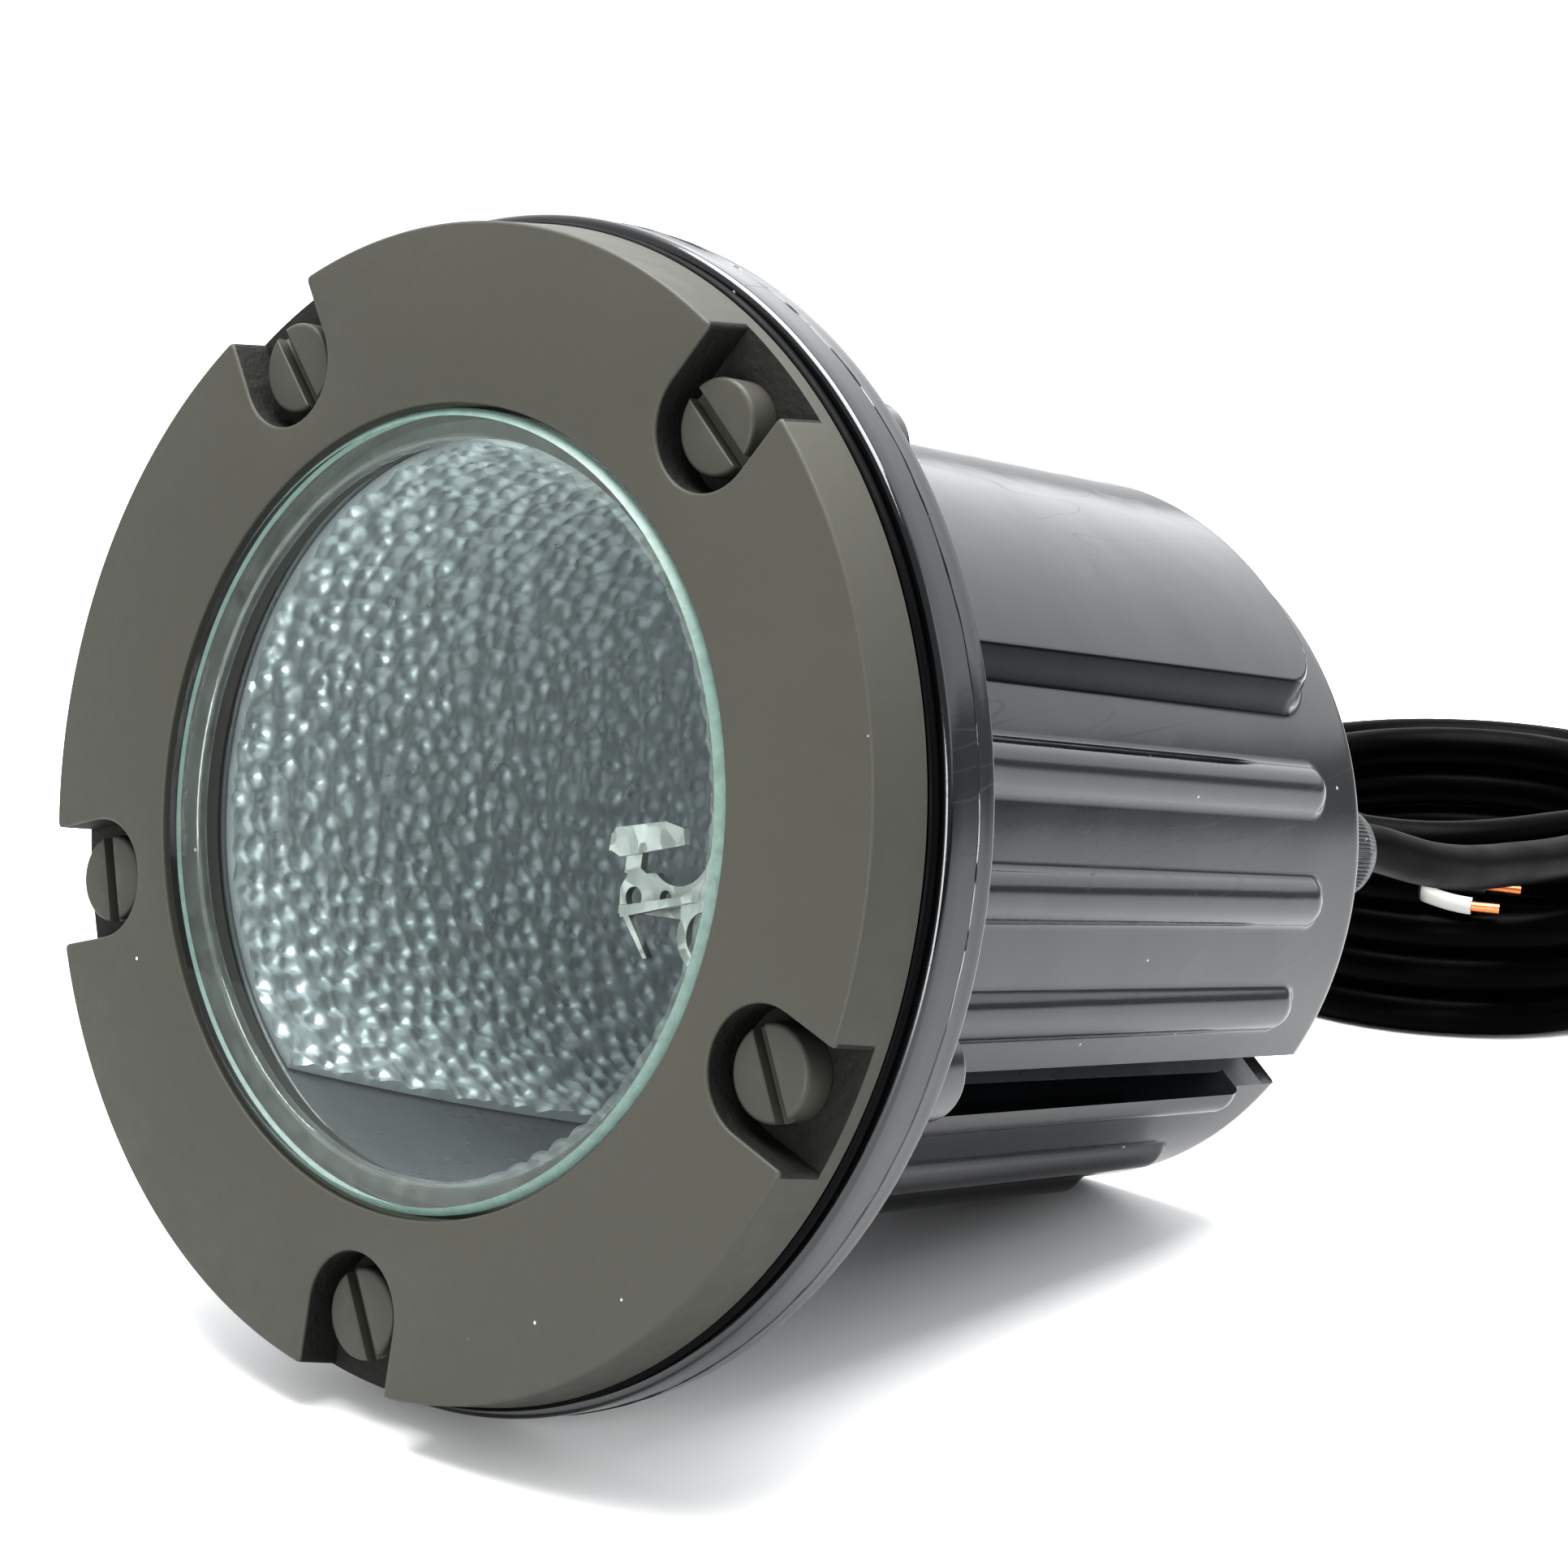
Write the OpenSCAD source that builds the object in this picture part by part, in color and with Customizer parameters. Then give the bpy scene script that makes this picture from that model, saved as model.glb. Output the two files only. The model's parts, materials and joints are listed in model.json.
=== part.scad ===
// Underwater pond light, lying on its side on a flat surface, with its coiled lead behind it.
// The pieces are drawn on the light's own axis: z = 0 is the front face, the back is at -z,
// and lie() lays them down in the part's frame: +Z up, front towards -Y, origin under the middle.

/* [Face ring] */
// Radius of the cast face ring at the front
face_r = 65; // [63:0.5:66]
// Radius of the ring where it meets the gasket
ring_base_r = 65.8; // [64:0.1:66.2]
// Thickness of the cast ring
ring_t = 7.6; // [7:0.1:9]
// Radius of the glass opening
lens_opening_r = 45; // [44.6:0.1:46]
// Inner radius of the ledge under the glass
ledge_r = 41.6; // [41:0.1:42.5]

/* [Glass] */
// Radius of the glass disc
glass_r = 44.5; // [43.5:0.1:44.5]
// Thickness of the glass
glass_t = 4; // [3:0.1:4.5]
// Ground edge of the glass
glass_chamfer = 0.9; // [0.4:0.1:1.2]

/* [Screws] */
// Number of face screws
screw_count = 5; // [5]
// Radius of the circle of screws
screw_circle_r = 57.1; // [56:0.1:57.5]
// Width of each pocket in the ring
pocket_w = 14.2; // [12:0.1:15]
// Depth of each pocket
pocket_d = 5.6; // [5:0.1:6]
// Diameter of a screw head
head_d = 10.4; // [9:0.1:11]
// Height of a screw head
head_h = 3.9; // [3:0.1:4.5]
// Diameter of the screw shank
shank_d = 4.8; // [4:0.1:5]
// Width of the driver slot
slot_w = 1.7; // [1:0.1:2]

/* [Housing] */
// Thickness of the gasket between ring and flange
gasket_t = 1.5; // [1:0.1:2]
// Radius of the housing flange
flange_r = 67.2; // [66.5:0.1:68]
// Thickness of the flange
flange_t = 7.9; // [6:0.1:9]
// Depth of the housing behind the face
housing_l = 120; // [118:1:124]
// Radius of the cup behind the flange
cup_front_r = 47; // [46:0.1:47.5]
// Radius of the cup at its closed end
cup_back_r = 44.4; // [44:0.1:45]
// Inside radius at the mouth
cavity_front_r = 42.6; // [42:0.1:43]
// Inside radius at the closed end
cavity_back_r = 41.2; // [40:0.1:41.5]
// Thickness of the closed end
floor_t = 3; // [2.5:0.1:4]

/* [Lead] */
// Diameter of the lead
lead_d = 6.3; // [6:0.1:6.5]
// Radius of the coil's outer turns, at the middle of the lead
coil_outer_r = 34.8; // [34:0.1:36]
// Radius of the coil's inner turns, at the middle of the lead
coil_inner_r = 28.4; // [27:0.1:28.6]

/* [Hidden] */
$fn = 96;
eps = 0.01;

// Depths behind the front face
flange_front = ring_t + gasket_t;
flange_back = flange_front + flange_t;
floor_top = housing_l - floor_t;

// Ribs, the raised pad and the deep groove low on the right of the cup
rib_r = 3.6;
rib_tip_front = 49.4;
rib_tip_back = 46.4;
rib_end = 112;
rib_step = 18;
rib_angles = [for (i = [-11:1]) i * rib_step];
pad_edge_angle = 34;
pad_foot_angle = 27.5;
pad_front_r = 49.9;
pad_back_r = 48.3;
pad_end = 110;
groove_from = -34;
groove_to = -27.5;
groove_r = 38.6;
groove_wall = 2.4;
boss_r = 6;
boss_end = 27;

// The light lies on the flange's back edge and on the ends of its lowest ribs
lie_tilt = atan2(flange_r - rib_tip_back, rib_end - rib_r - flange_back);
axis_height = flange_r * cos(lie_tilt) + flange_back * sin(lie_tilt);
gland_end = 136;
gland_x = 31;
gland_y = 4.7;
nut_r = 6.6;
front_reach = face_r * sin(lie_tilt);
back_reach = gland_end * cos(lie_tilt) + (gland_y + nut_r) * sin(lie_tilt);
axis_y = (front_reach - back_reach) / 2;

// Screws: top right first, then counter-clockwise seen from the front
screw_first = 54;
screw_step = 360 / screw_count;
slot_angles = [-39, -45, -70, -58, -60];
head_top = pocket_d - head_h;
slot_depth = 1.7;
shank_end = 25;
insert_from = 13;
insert_to = 24.5;
insert_r = 3.4;
running_gap = 0.05;

// Lamp, its holder and the shield in front of it
lamp_x = 16.5;
lamp_r = 4.6;
lamp_tip = 32;
lamp_back = 52;
lamp_foot = 56.4;
pin_r = 0.4;
pin_gap = 2.5;
pin_end = 63;
socket_front = 56.6;
socket_back = 66;
socket_r = 8;
shield_front = 26;
shield_hole_r = 4.9;
sheet_t = 1;
bracket_leg_x = 32;
post_r = 3.6;
post_places = [[26, -16], [26, 16]];
post_top = 69;

// The free stretch of the lead, from the gland to where it joins the coil
lead_route = [
    [31, 74, 44.6], [31, 80, 43], [31, 86, 40.8], [31, 92, 38.6], [30.7, 98, 36.8],
    [30.3, 104, 35.3], [29.7, 111, 33.9], [29, 118, 32.7], [28.4, 125, 31.5],
    [27.9, 132, 30.5], [27.4, 139, 29.7], [27.1, 146, 29.3], [27, 152, 29.2]
];
coil_x = -7.8;
coil_y = 163;
coil_height = 32.6;
coil_play = 0.6;
// The two stripped cores at the far end of the lead
core_r = 1.3;
core_black_route = [[1, 129.6, 22.4], [5, 131.6, 22.4], [9, 134.4, 22.6], [13, 137.6, 22.4], [17, 141, 21.8]];
core_white_route = [[2, 128.4, 20], [6, 128.8, 19.6], [10, 130.4, 19], [14, 132.8, 18.2], [18, 135, 17.4]];

// Lays a piece down from the light's own axis into the part's frame
module lie() {
    translate([0, axis_y, axis_height]) rotate([90 - lie_tilt, 0, 0]) children();
}

// Places a piece at each face screw
module at_screws() {
    for (i = [0 : screw_count - 1])
        rotate([0, 0, screw_first + i * screw_step]) translate([screw_circle_r, 0, 0]) children();
}

// A disc or cone from one depth to a larger one
module turned(r1, d1, r2, d2) {
    translate([0, 0, -d2]) cylinder(r1 = r2, r2 = r1, h = d2 - d1);
}

// A ring of rectangular section between two depths
module washer(r_out, r_in, d1, d2) {
    difference() {
        turned(r_out, d1, r_out, d2);
        turned(r_in, d1 - 1, r_in, d2 + 1);
    }
}

// A tube of the radius r swept along the points of a route
function unit(v) = v / norm(v);
function heading(route, i) = unit(route[min(i + 1, len(route) - 1)] - route[max(i - 1, 0)]);
function side_of(t) = unit(cross(t, abs(t[2]) < 0.9 ? [0, 0, 1] : [1, 0, 0]));
function ring_at(p, t, r, n) = [
    for (k = [0 : n - 1])
        p + r * cos(360 * k / n) * side_of(t) + r * sin(360 * k / n) * cross(side_of(t), t)
];
module swept(route, r, n = 10) {
    m = len(route);
    points = [for (i = [0 : m - 1]) each ring_at(route[i], heading(route, i), r, n)];
    sides = [
        for (i = [0 : m - 2]) for (k = [0 : n - 1])
            [i * n + k, (i + 1) * n + k, (i + 1) * n + (k + 1) % n, i * n + (k + 1) % n]
    ];
    front_cap = [for (k = [0 : n - 1]) k];
    back_cap = [for (k = [0 : n - 1]) m * n - 1 - k];
    polyhedron(points, concat(sides, [front_cap, back_cap]));
}

// ---- Housing ----

// One rib: a round bar that follows the taper of the cup and ends in a ball
module rib() {
    back_c = rib_tip_back - rib_r;
    front_c = rib_tip_front - rib_r;
    lean = atan2(front_c - back_c, rib_end - rib_r - flange_front);
    run = rib_end - rib_r - flange_front - 3;
    translate([back_c, 0, -(rib_end - rib_r)]) rotate([0, lean, 0]) rotate_extrude($fn = 48) {
        square([rib_r, run / cos(lean)]);
        intersection() {
            circle(r = rib_r);
            translate([0, -rib_r]) square(rib_r);
        }
    }
}

// Outline of the pad seen along the axis: two sloping flanks and everything between them
module pad_outline() {
    foot = 45.5 * [cos(pad_foot_angle), sin(pad_foot_angle)];
    edge = pad_front_r * [cos(pad_edge_angle), sin(pad_edge_angle)];
    far = foot + 3 * (edge - foot);
    polygon([[0, 0], foot, far, [far[0], 60], [-far[0], 60], [-far[0], far[1]], [-foot[0], foot[1]]]);
}

// The smooth raised pad on the top of the cup, with a sloping end
module pad() {
    intersection() {
        rotate_extrude() polygon([
            [0, -flange_front - 2], [pad_front_r, -flange_front - 2], [pad_back_r, -pad_end],
            [cup_back_r - 1, -pad_end - 5], [0, -pad_end - 5]
        ]);
        translate([0, 0, -housing_l]) linear_extrude(housing_l) pad_outline();
    }
}

// A wedge of the radius r between two angles
module sector(r, from, to) {
    polygon([[0, 0], r * [cos(from), sin(from)], r * [cos((from + to) / 2), sin((from + to) / 2)], r * [cos(to), sin(to)]]);
}

// The groove low on the right of the cup, grown on every side for its inner wall
module groove(extra) {
    grow = extra / groove_r * 57.3;
    translate([0, 0, -housing_l - 1]) linear_extrude(housing_l - flange_back - 1 + extra) difference() {
        sector(60, groove_from - grow, groove_to + grow);
        circle(r = groove_r - extra);
    }
}

module housing() {
    color([0.24, 0.26, 0.28]) lie() difference() {
        union() {
            difference() {
                union() {
                    rotate_extrude() polygon([
                        [0, -flange_front], [flange_r - 0.5, -flange_front], [flange_r, -flange_front - 1],
                        [flange_r, -flange_back + 0.8], [flange_r - 0.5, -flange_back], [cup_front_r, -flange_back],
                        [cup_back_r, -housing_l], [0, -housing_l]
                    ]);
                    for (a = rib_angles) rotate([0, 0, a]) rib();
                    pad();
                    at_screws() turned(boss_r, flange_front + 1, boss_r - 0.4, boss_end);
                }
                turned(cavity_front_r, flange_front - 1, cavity_back_r, floor_top);
                groove(0);
            }
            // Inner wall of the groove
            intersection() {
                difference() {
                    groove(groove_wall);
                    groove(0);
                }
                turned(cavity_front_r + 1, flange_back - 1, cavity_back_r + 1, housing_l);
            }
            // Posts for the lamp bracket and the closed end around them
            for (p = post_places) translate([p[0], p[1], 0]) turned(post_r, post_top, post_r, floor_top + 1);
        }
        at_screws() {
            turned(insert_r, flange_front - 1, insert_r, insert_to);
            turned(shank_d / 2 + 0.4, insert_to - 1, shank_d / 2 + 0.4, shank_end + 0.7);
        }
        for (p = post_places) translate([p[0], p[1], 0]) turned(1.25, post_top - 1, 1.25, post_top + 9);
        translate([gland_x, gland_y, 0]) turned(6.1, floor_top - 1, 6.1, housing_l + 1);
    }
}

module threaded_inserts() {
    color([0.72, 0.58, 0.3]) lie() at_screws()
        washer(insert_r, shank_d / 2 + running_gap, insert_from, insert_to);
}

module flange_gasket() {
    color([0.06, 0.06, 0.06]) lie() difference() {
        washer(66.3, cavity_front_r + 0.6, ring_t, flange_front);
        at_screws() turned(3, ring_t - 1, 3, flange_front + 1);
    }
}

// ---- Face ring, glass and seals ----

module face_ring() {
    edge = 0.5;
    color([0.37, 0.37, 0.345]) lie() difference() {
        rotate_extrude($fn = 160) polygon([
            [lens_opening_r + edge, 0], [face_r - edge, 0], [face_r, -edge],
            [ring_base_r, -ring_t], [ledge_r, -ring_t], [ledge_r, -glass_t - 0.6],
            [lens_opening_r, -glass_t - 0.6], [lens_opening_r, -edge]
        ]);
        at_screws() {
            turned(pocket_w / 2, -1, pocket_w / 2, pocket_d);
            translate([0, -pocket_w / 2, -pocket_d]) cube([20, pocket_w, pocket_d + 1]);
            turned(2.7, pocket_d - 1, 2.7, ring_t + 1);
        }
    }
}

module lens_glass() {
    color([0.75, 0.85, 0.82, 0.35]) lie() {
        turned(glass_r - glass_chamfer, 0, glass_r, glass_chamfer);
        turned(glass_r, glass_chamfer - eps, glass_r, glass_t);
    }
}

// Clear silicone between the glass and its ledge, with a bead that stands inside the ledge
module lens_seal() {
    color([0.8, 0.82, 0.8, 0.6]) lie() rotate_extrude() polygon([
        [lens_opening_r - 0.3, -glass_t], [lens_opening_r - 0.3, -glass_t - 0.6], [ledge_r, -glass_t - 0.6],
        [ledge_r, -glass_t - 1.6], [ledge_r - 0.7, -glass_t - 1.2], [ledge_r - 0.9, -glass_t]
    ]);
}

// ---- Screws ----

// A slotted cheese-head screw; number 1 is at the top right
module screw(number) {
    edge = 0.4;
    turn = slot_angles[number - 1] - (screw_first + (number - 1) * screw_step);
    color([0.35, 0.35, 0.33]) lie()
        rotate([0, 0, screw_first + (number - 1) * screw_step]) translate([screw_circle_r, 0, 0]) difference() {
            union() {
                turned(head_d / 2 - edge, head_top, head_d / 2, head_top + edge);
                turned(head_d / 2, head_top + edge - eps, head_d / 2, pocket_d);
                turned(shank_d / 2, pocket_d - eps, shank_d / 2, shank_end - 1);
                turned(shank_d / 2, shank_end - 1 - eps, shank_d / 2 - 0.8, shank_end);
            }
            rotate([0, 0, turn]) translate([-head_d, -slot_w / 2, -head_top - slot_depth])
                cube([2 * head_d, slot_w, slot_depth + 1]);
        }
}
module screw_1() { screw(1); }
module screw_2() { screw(2); }
module screw_3() { screw(3); }
module screw_4() { screw(4); }
module screw_5() { screw(5); }

// Rubber rings around the shanks, in the flange above the inserts
module screw_seals() {
    color([0.1, 0.1, 0.1]) lie() at_screws()
        washer(insert_r - 0.05, shank_d / 2 + 0.1, flange_front + 0.6, flange_front + 2.4);
}

// ---- Inside ----

// Hammered sheet that lines the left of the cup; its lower edge slopes down towards the back
module reflector() {
    gap = 0.3;
    sheet = 0.8;
    front_d = 9.5;
    back_d = 112;
    slope = (cavity_front_r - cavity_back_r) / (floor_top - flange_front);
    r_front = cavity_front_r - gap - slope * (front_d - flange_front);
    r_back = cavity_front_r - gap - slope * (back_d - flange_front);
    from = 70;
    edge_angle = 250;
    edge_slope = 17.5;
    color([0.75, 0.76, 0.78]) lie() difference() {
        rotate([0, 0, from]) rotate_extrude(angle = 200) polygon([
            [r_front, -front_d], [r_back, -back_d], [r_back - sheet, -back_d], [r_front - sheet, -front_d]
        ]);
        rotate([0, 0, edge_angle]) translate([0, 0, -45]) rotate([edge_slope, 0, 0])
            translate([15, 0, -90]) cube([40, 60, 180]);
        reflector_screw_places() cylinder(r = 1.7, h = 8, center = true, $fn = 24);
    }
}

// The two screws that hold the reflector to the wall
module reflector_screw_places() {
    for (a = [95, 215]) rotate([0, 0, a]) translate([cavity_back_r, 0, -100]) rotate([0, 90, 0]) children();
}

module reflector_screws() {
    color([0.7, 0.7, 0.72]) lie() reflector_screw_places() {
        translate([0, 0, -2.7]) cylinder(r = 2.6, h = 1.2, $fn = 32);
        translate([0, 0, -1.6]) cylinder(r = 1.2, h = 1.9, $fn = 32);
    }
}

// Outline of the shield, drawn round the lamp: shoulder, hole, small holes and a lug with an eye
module shield_outline() {
    lug = [5.8, -9.6];
    difference() {
        union() {
            polygon([[-7.7, -9.2], [-8.1, -6.6], [-6.8, -3.9], [-5.9, -3.6], [-4.4, -4.3], [4, -2.4], [4.4, 5.4],
                [bracket_leg_x - lamp_x, 8], [bracket_leg_x - lamp_x, -12], [9, -12], [4, -8.2]]);
            translate(lug) circle(r = 4.2, $fn = 48);
        }
        circle(r = shield_hole_r, $fn = 64);
        translate(lug) circle(r = 2.8, $fn = 48);
        translate([-5.8, -7.3]) circle(r = 1.25, $fn = 32);
        translate([-0.9, -6.5]) circle(r = 0.9, $fn = 32);
    }
}

// Sheet bracket: shield in front of the lamp, leg along the right wall, plate that holds the socket
module lamp_bracket() {
    tab_gap = 3;
    tab_front = shield_front - tab_gap;
    web = tab_gap + sheet_t;
    back_d = socket_back + sheet_t;
    color([0.72, 0.73, 0.74]) lie() {
        translate([lamp_x, 0, -shield_front - sheet_t]) linear_extrude(sheet_t) shield_outline();
        translate([lamp_x, 0, 0]) {
            // Upper tab, folded forward at its left end, and the neck it is folded from
            translate([0, 0, -tab_front - sheet_t]) linear_extrude(sheet_t)
                polygon([[-7.8, -2.2], [-7.8, -0.8], [-7.3, 0.4], [0.2, 2.4], [3, 2.1], [3.6, 0.3], [-6, -2.7]]);
            translate([-7.8, -2.3, -shield_front - sheet_t]) cube([sheet_t, 2, web]);
            translate([-7.8, -4.8, -shield_front - sheet_t]) cube([2.4, 4.8, sheet_t]);
            // Lower tab and the tongue under it
            translate([0, 0, -tab_front - sheet_t]) linear_extrude(sheet_t)
                polygon([[-5.1, -8.2], [5.8, -4.9], [5.9, -5.7], [-4.6, -9.4]]);
            translate([-5, -9, -shield_front - sheet_t]) cube([sheet_t, 1, web]);
            translate([0, 0, -tab_front - sheet_t]) linear_extrude(sheet_t)
                polygon([[-4.4, -9], [-3.4, -8.9], [0.4, -13.1], [-0.2, -13.3]]);
        }
        // Leg and back plate
        translate([bracket_leg_x - sheet_t, -12, -back_d]) cube([sheet_t, 20, back_d - shield_front]);
        difference() {
            union() {
                translate([lamp_x - 10, -12, -back_d]) cube([bracket_leg_x - lamp_x + 10, 20, sheet_t]);
                translate([20, -19.6, -back_d]) cube([9.6, 39.2, sheet_t]);
            }
            for (y = [-2.5, 2.5]) translate([lamp_x, y, 0]) turned(1.6, back_d - 3, 1.6, back_d + 1);
            for (p = post_places) translate([p[0], p[1], 0]) turned(1.6, back_d - 3, 1.6, back_d + 1);
        }
        // Feet that reach down to the posts
        for (p = post_places) translate([p[0], p[1], 0]) washer(post_r, 1.6, back_d - eps, post_top);
    }
}

module bracket_screws() {
    head_back = socket_back;
    color([0.62, 0.63, 0.64]) lie() for (p = post_places) translate([p[0], p[1], 0]) {
        turned(2.9, head_back - 1.6, 2.9, head_back);
        turned(1.2, head_back - eps, 1.2, post_top + 8);
    }
}

module lamp_socket() {
    color([0.92, 0.9, 0.84]) lie() translate([lamp_x, 0, 0]) difference() {
        turned(socket_r, socket_front, socket_r, socket_back);
        for (y = [-pin_gap, pin_gap]) translate([0, y, 0]) {
            turned(pin_r + running_gap, socket_front - 1, pin_r + running_gap, socket_front + 2.2);
            turned(1.1, socket_front + 2, 1.1, socket_back + 1);
        }
    }
}

// The two sprung contacts inside the socket
module socket_contacts() {
    color([0.78, 0.62, 0.32]) lie() for (y = [-pin_gap, pin_gap])
        translate([lamp_x, y, 0]) washer(1, pin_r + running_gap, socket_front + 2.6, socket_back - 1);
}

module lamp_envelope() {
    color([0.85, 0.88, 0.9, 0.4]) lie() translate([lamp_x, 0, 0]) {
        difference() {
            union() {
                translate([0, 0, -lamp_tip - lamp_r]) sphere(r = lamp_r);
                turned(lamp_r, lamp_tip + lamp_r, lamp_r, lamp_back - 2);
                turned(lamp_r, lamp_back - 2 - eps, 3, lamp_back);
            }
            translate([0, 0, -lamp_tip - lamp_r]) sphere(r = lamp_r - 0.7);
            turned(lamp_r - 0.7, lamp_tip + lamp_r, lamp_r - 0.7, lamp_back - 3);
        }
        translate([-1.5, -4, -lamp_foot]) cube([3, 8, lamp_foot - lamp_back + 1]);
    }
}

// Filament and its two support wires
module lamp_filament() {
    top_d = 38;
    color([0.5, 0.5, 0.5]) lie() translate([lamp_x, 0, 0]) {
        for (y = [-2, 2]) translate([0, y, 0]) turned(0.3, top_d, 0.3, lamp_back - 3);
        translate([0, -2.8, -top_d]) rotate([-90, 0, 0]) cylinder(r = 0.6, h = 5.6, $fn = 24);
    }
}

module lamp_pins() {
    color([0.7, 0.7, 0.7]) lie() for (y = [-pin_gap, pin_gap])
        translate([lamp_x, y, 0]) turned(pin_r, lamp_foot, pin_r, pin_end, $fn = 24);
}

// The socket's two leads, each run back to a crimp connector
module socket_lead(y, bend) {
    lie() swept([
        [lamp_x, y, -socket_back + 0.8], [lamp_x, y, -socket_back - 6], [lamp_x + 1, y + bend, -socket_back - 14],
        [lamp_x + 3, y + 2 * bend, -socket_back - 21], [lamp_x + 4, y + 2 * bend, -socket_back - 27]
    ], 0.9, 8);
}
module socket_lead_black() { color([0.08, 0.08, 0.08]) socket_lead(-pin_gap, -2); }
module socket_lead_white() { color([0.9, 0.9, 0.88]) socket_lead(pin_gap, 2); }

module wire_connectors() {
    color([0.85, 0.8, 0.65, 0.9]) lie() for (side = [-1, 1])
        translate([lamp_x + 4, side * (pin_gap + 4), 0]) {
            washer(2.8, 1.1, 92, 104);
            turned(2.8, 104 - eps, 2.2, 105);
        }
}

// The lead's end inside the light, through the gland
module inner_cable() {
    color([0.07, 0.07, 0.07]) lie() translate([gland_x, gland_y, 0]) {
        turned(lead_d / 2, 108, lead_d / 2, gland_end);
        for (y = [-1.5, 1.5]) translate([0, y, 0]) turned(1.2, 98, 1.2, 108 + eps);
    }
}

// ---- Cable gland ----

module at_gland() {
    lie() translate([gland_x, gland_y, 0]) children();
}

module gland_body() {
    color([0.12, 0.13, 0.14]) at_gland() difference() {
        union() {
            turned(6, 112, 6, housing_l + 1);
            turned(7.6, housing_l + 0.6, 7.6, 124.4, $fn = 6);
            turned(5.4, 124.4 - eps, 5.4, 132);
        }
        turned(lead_d / 2 + 0.15, 111, lead_d / 2 + 0.15, 133);
        turned(4.5, 126, 4.5, 133);
    }
}

module gland_washer() {
    color([0.05, 0.05, 0.05]) at_gland() washer(8, 6.05, housing_l, housing_l + 0.6);
}

module gland_seal() {
    color([0.1, 0.1, 0.1]) at_gland() washer(4.45, lead_d / 2, 126, 132.6);
}

module gland_locknut() {
    color([0.13, 0.14, 0.15]) at_gland() difference() {
        turned(8.4, 113, 8.4, floor_top, $fn = 6);
        turned(6, 112, 6, floor_top + 1);
    }
}

// Round nut with straight knurls and a bevelled end
module gland_nut() {
    knurls = 44;
    depth = 0.3;
    outline = [
        for (i = [0 : 2 * knurls - 1]) let (a = 180 * i / knurls)
            (nut_r - (i % 2) * depth) * [cos(a), sin(a)]
    ];
    color([0.2, 0.22, 0.23]) at_gland() difference() {
        union() {
            translate([0, 0, -gland_end + 2.6]) linear_extrude(gland_end - 124.8 - 2.6) polygon(outline);
            turned(nut_r - 0.3, gland_end - 2.7, nut_r - 2, gland_end);
        }
        turned(5.4 + running_gap, 124, 5.4 + running_gap, 132.9);
        turned(lead_d / 2 + 0.3, 130, lead_d / 2 + 0.3, gland_end + 1);
    }
}

// ---- Free lead ----

module cable() {
    color([0.09, 0.09, 0.09]) swept(lead_route, lead_d / 2, 12);
}

module cable_coil() {
    color([0.09, 0.09, 0.09]) translate([coil_x, coil_y, 0]) rotate_extrude()
        translate([coil_inner_r - lead_d / 2 - coil_play, 0])
            square([coil_outer_r - coil_inner_r + lead_d + 2 * coil_play, coil_height]);
}

module core_black() { color([0.1, 0.1, 0.1]) swept(core_black_route, core_r, 8); }
module core_white() { color([0.9, 0.9, 0.88]) swept(core_white_route, core_r, 8); }

housing();
threaded_inserts();
flange_gasket();
reflector();
reflector_screws();
lamp_bracket();
bracket_screws();
lamp_socket();
socket_contacts();
socket_lead_black();
socket_lead_white();
wire_connectors();
inner_cable();
gland_body();
gland_washer();
gland_seal();
gland_locknut();
gland_nut();
face_ring();
lens_glass();
lens_seal();
screw_1();
screw_2();
screw_3();
screw_4();
screw_5();
screw_seals();
lamp_envelope();
lamp_filament();
lamp_pins();
cable();
cable_coil();
core_black();
core_white();
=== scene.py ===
"""Looks of an underwater pond light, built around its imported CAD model."""
import json
import math

import bmesh
import bpy
import numpy as np
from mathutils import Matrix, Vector


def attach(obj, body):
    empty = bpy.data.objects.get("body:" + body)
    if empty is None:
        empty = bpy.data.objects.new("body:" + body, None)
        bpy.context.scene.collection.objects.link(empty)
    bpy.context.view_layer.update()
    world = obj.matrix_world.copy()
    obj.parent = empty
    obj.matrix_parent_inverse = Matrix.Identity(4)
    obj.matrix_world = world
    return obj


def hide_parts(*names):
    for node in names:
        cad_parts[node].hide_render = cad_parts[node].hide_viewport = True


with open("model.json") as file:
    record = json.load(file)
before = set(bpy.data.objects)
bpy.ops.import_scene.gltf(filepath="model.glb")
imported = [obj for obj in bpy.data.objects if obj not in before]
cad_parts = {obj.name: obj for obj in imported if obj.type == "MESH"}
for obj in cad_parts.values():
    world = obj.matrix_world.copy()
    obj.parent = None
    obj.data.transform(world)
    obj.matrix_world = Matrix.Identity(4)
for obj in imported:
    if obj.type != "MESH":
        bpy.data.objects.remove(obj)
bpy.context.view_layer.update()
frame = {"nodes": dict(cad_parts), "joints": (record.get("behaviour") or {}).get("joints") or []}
scene = bpy.context.scene
scene.view_settings.view_transform = "Standard"
scene.view_settings.look = "High Contrast"
MM = 0.001

# ---------------------------------------------------------------- camera

CAMERA_PLACE = (0.298029, -0.323140, 0.171285)
CAMERA_PITCH, CAMERA_YAW, LENS_MM = 75.938, 42.846, 85.096
camera = bpy.data.objects.new("camera", bpy.data.cameras.new("camera"))
scene.collection.objects.link(camera)
camera.location = CAMERA_PLACE
camera.rotation_euler = (math.radians(CAMERA_PITCH), 0, math.radians(CAMERA_YAW))
camera.data.sensor_width = 36
camera.data.lens = LENS_MM
camera.data.clip_start = 0.01
camera.data.clip_end = 50
scene.camera = camera

# ------------------------------------------------- the light's own frame

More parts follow.
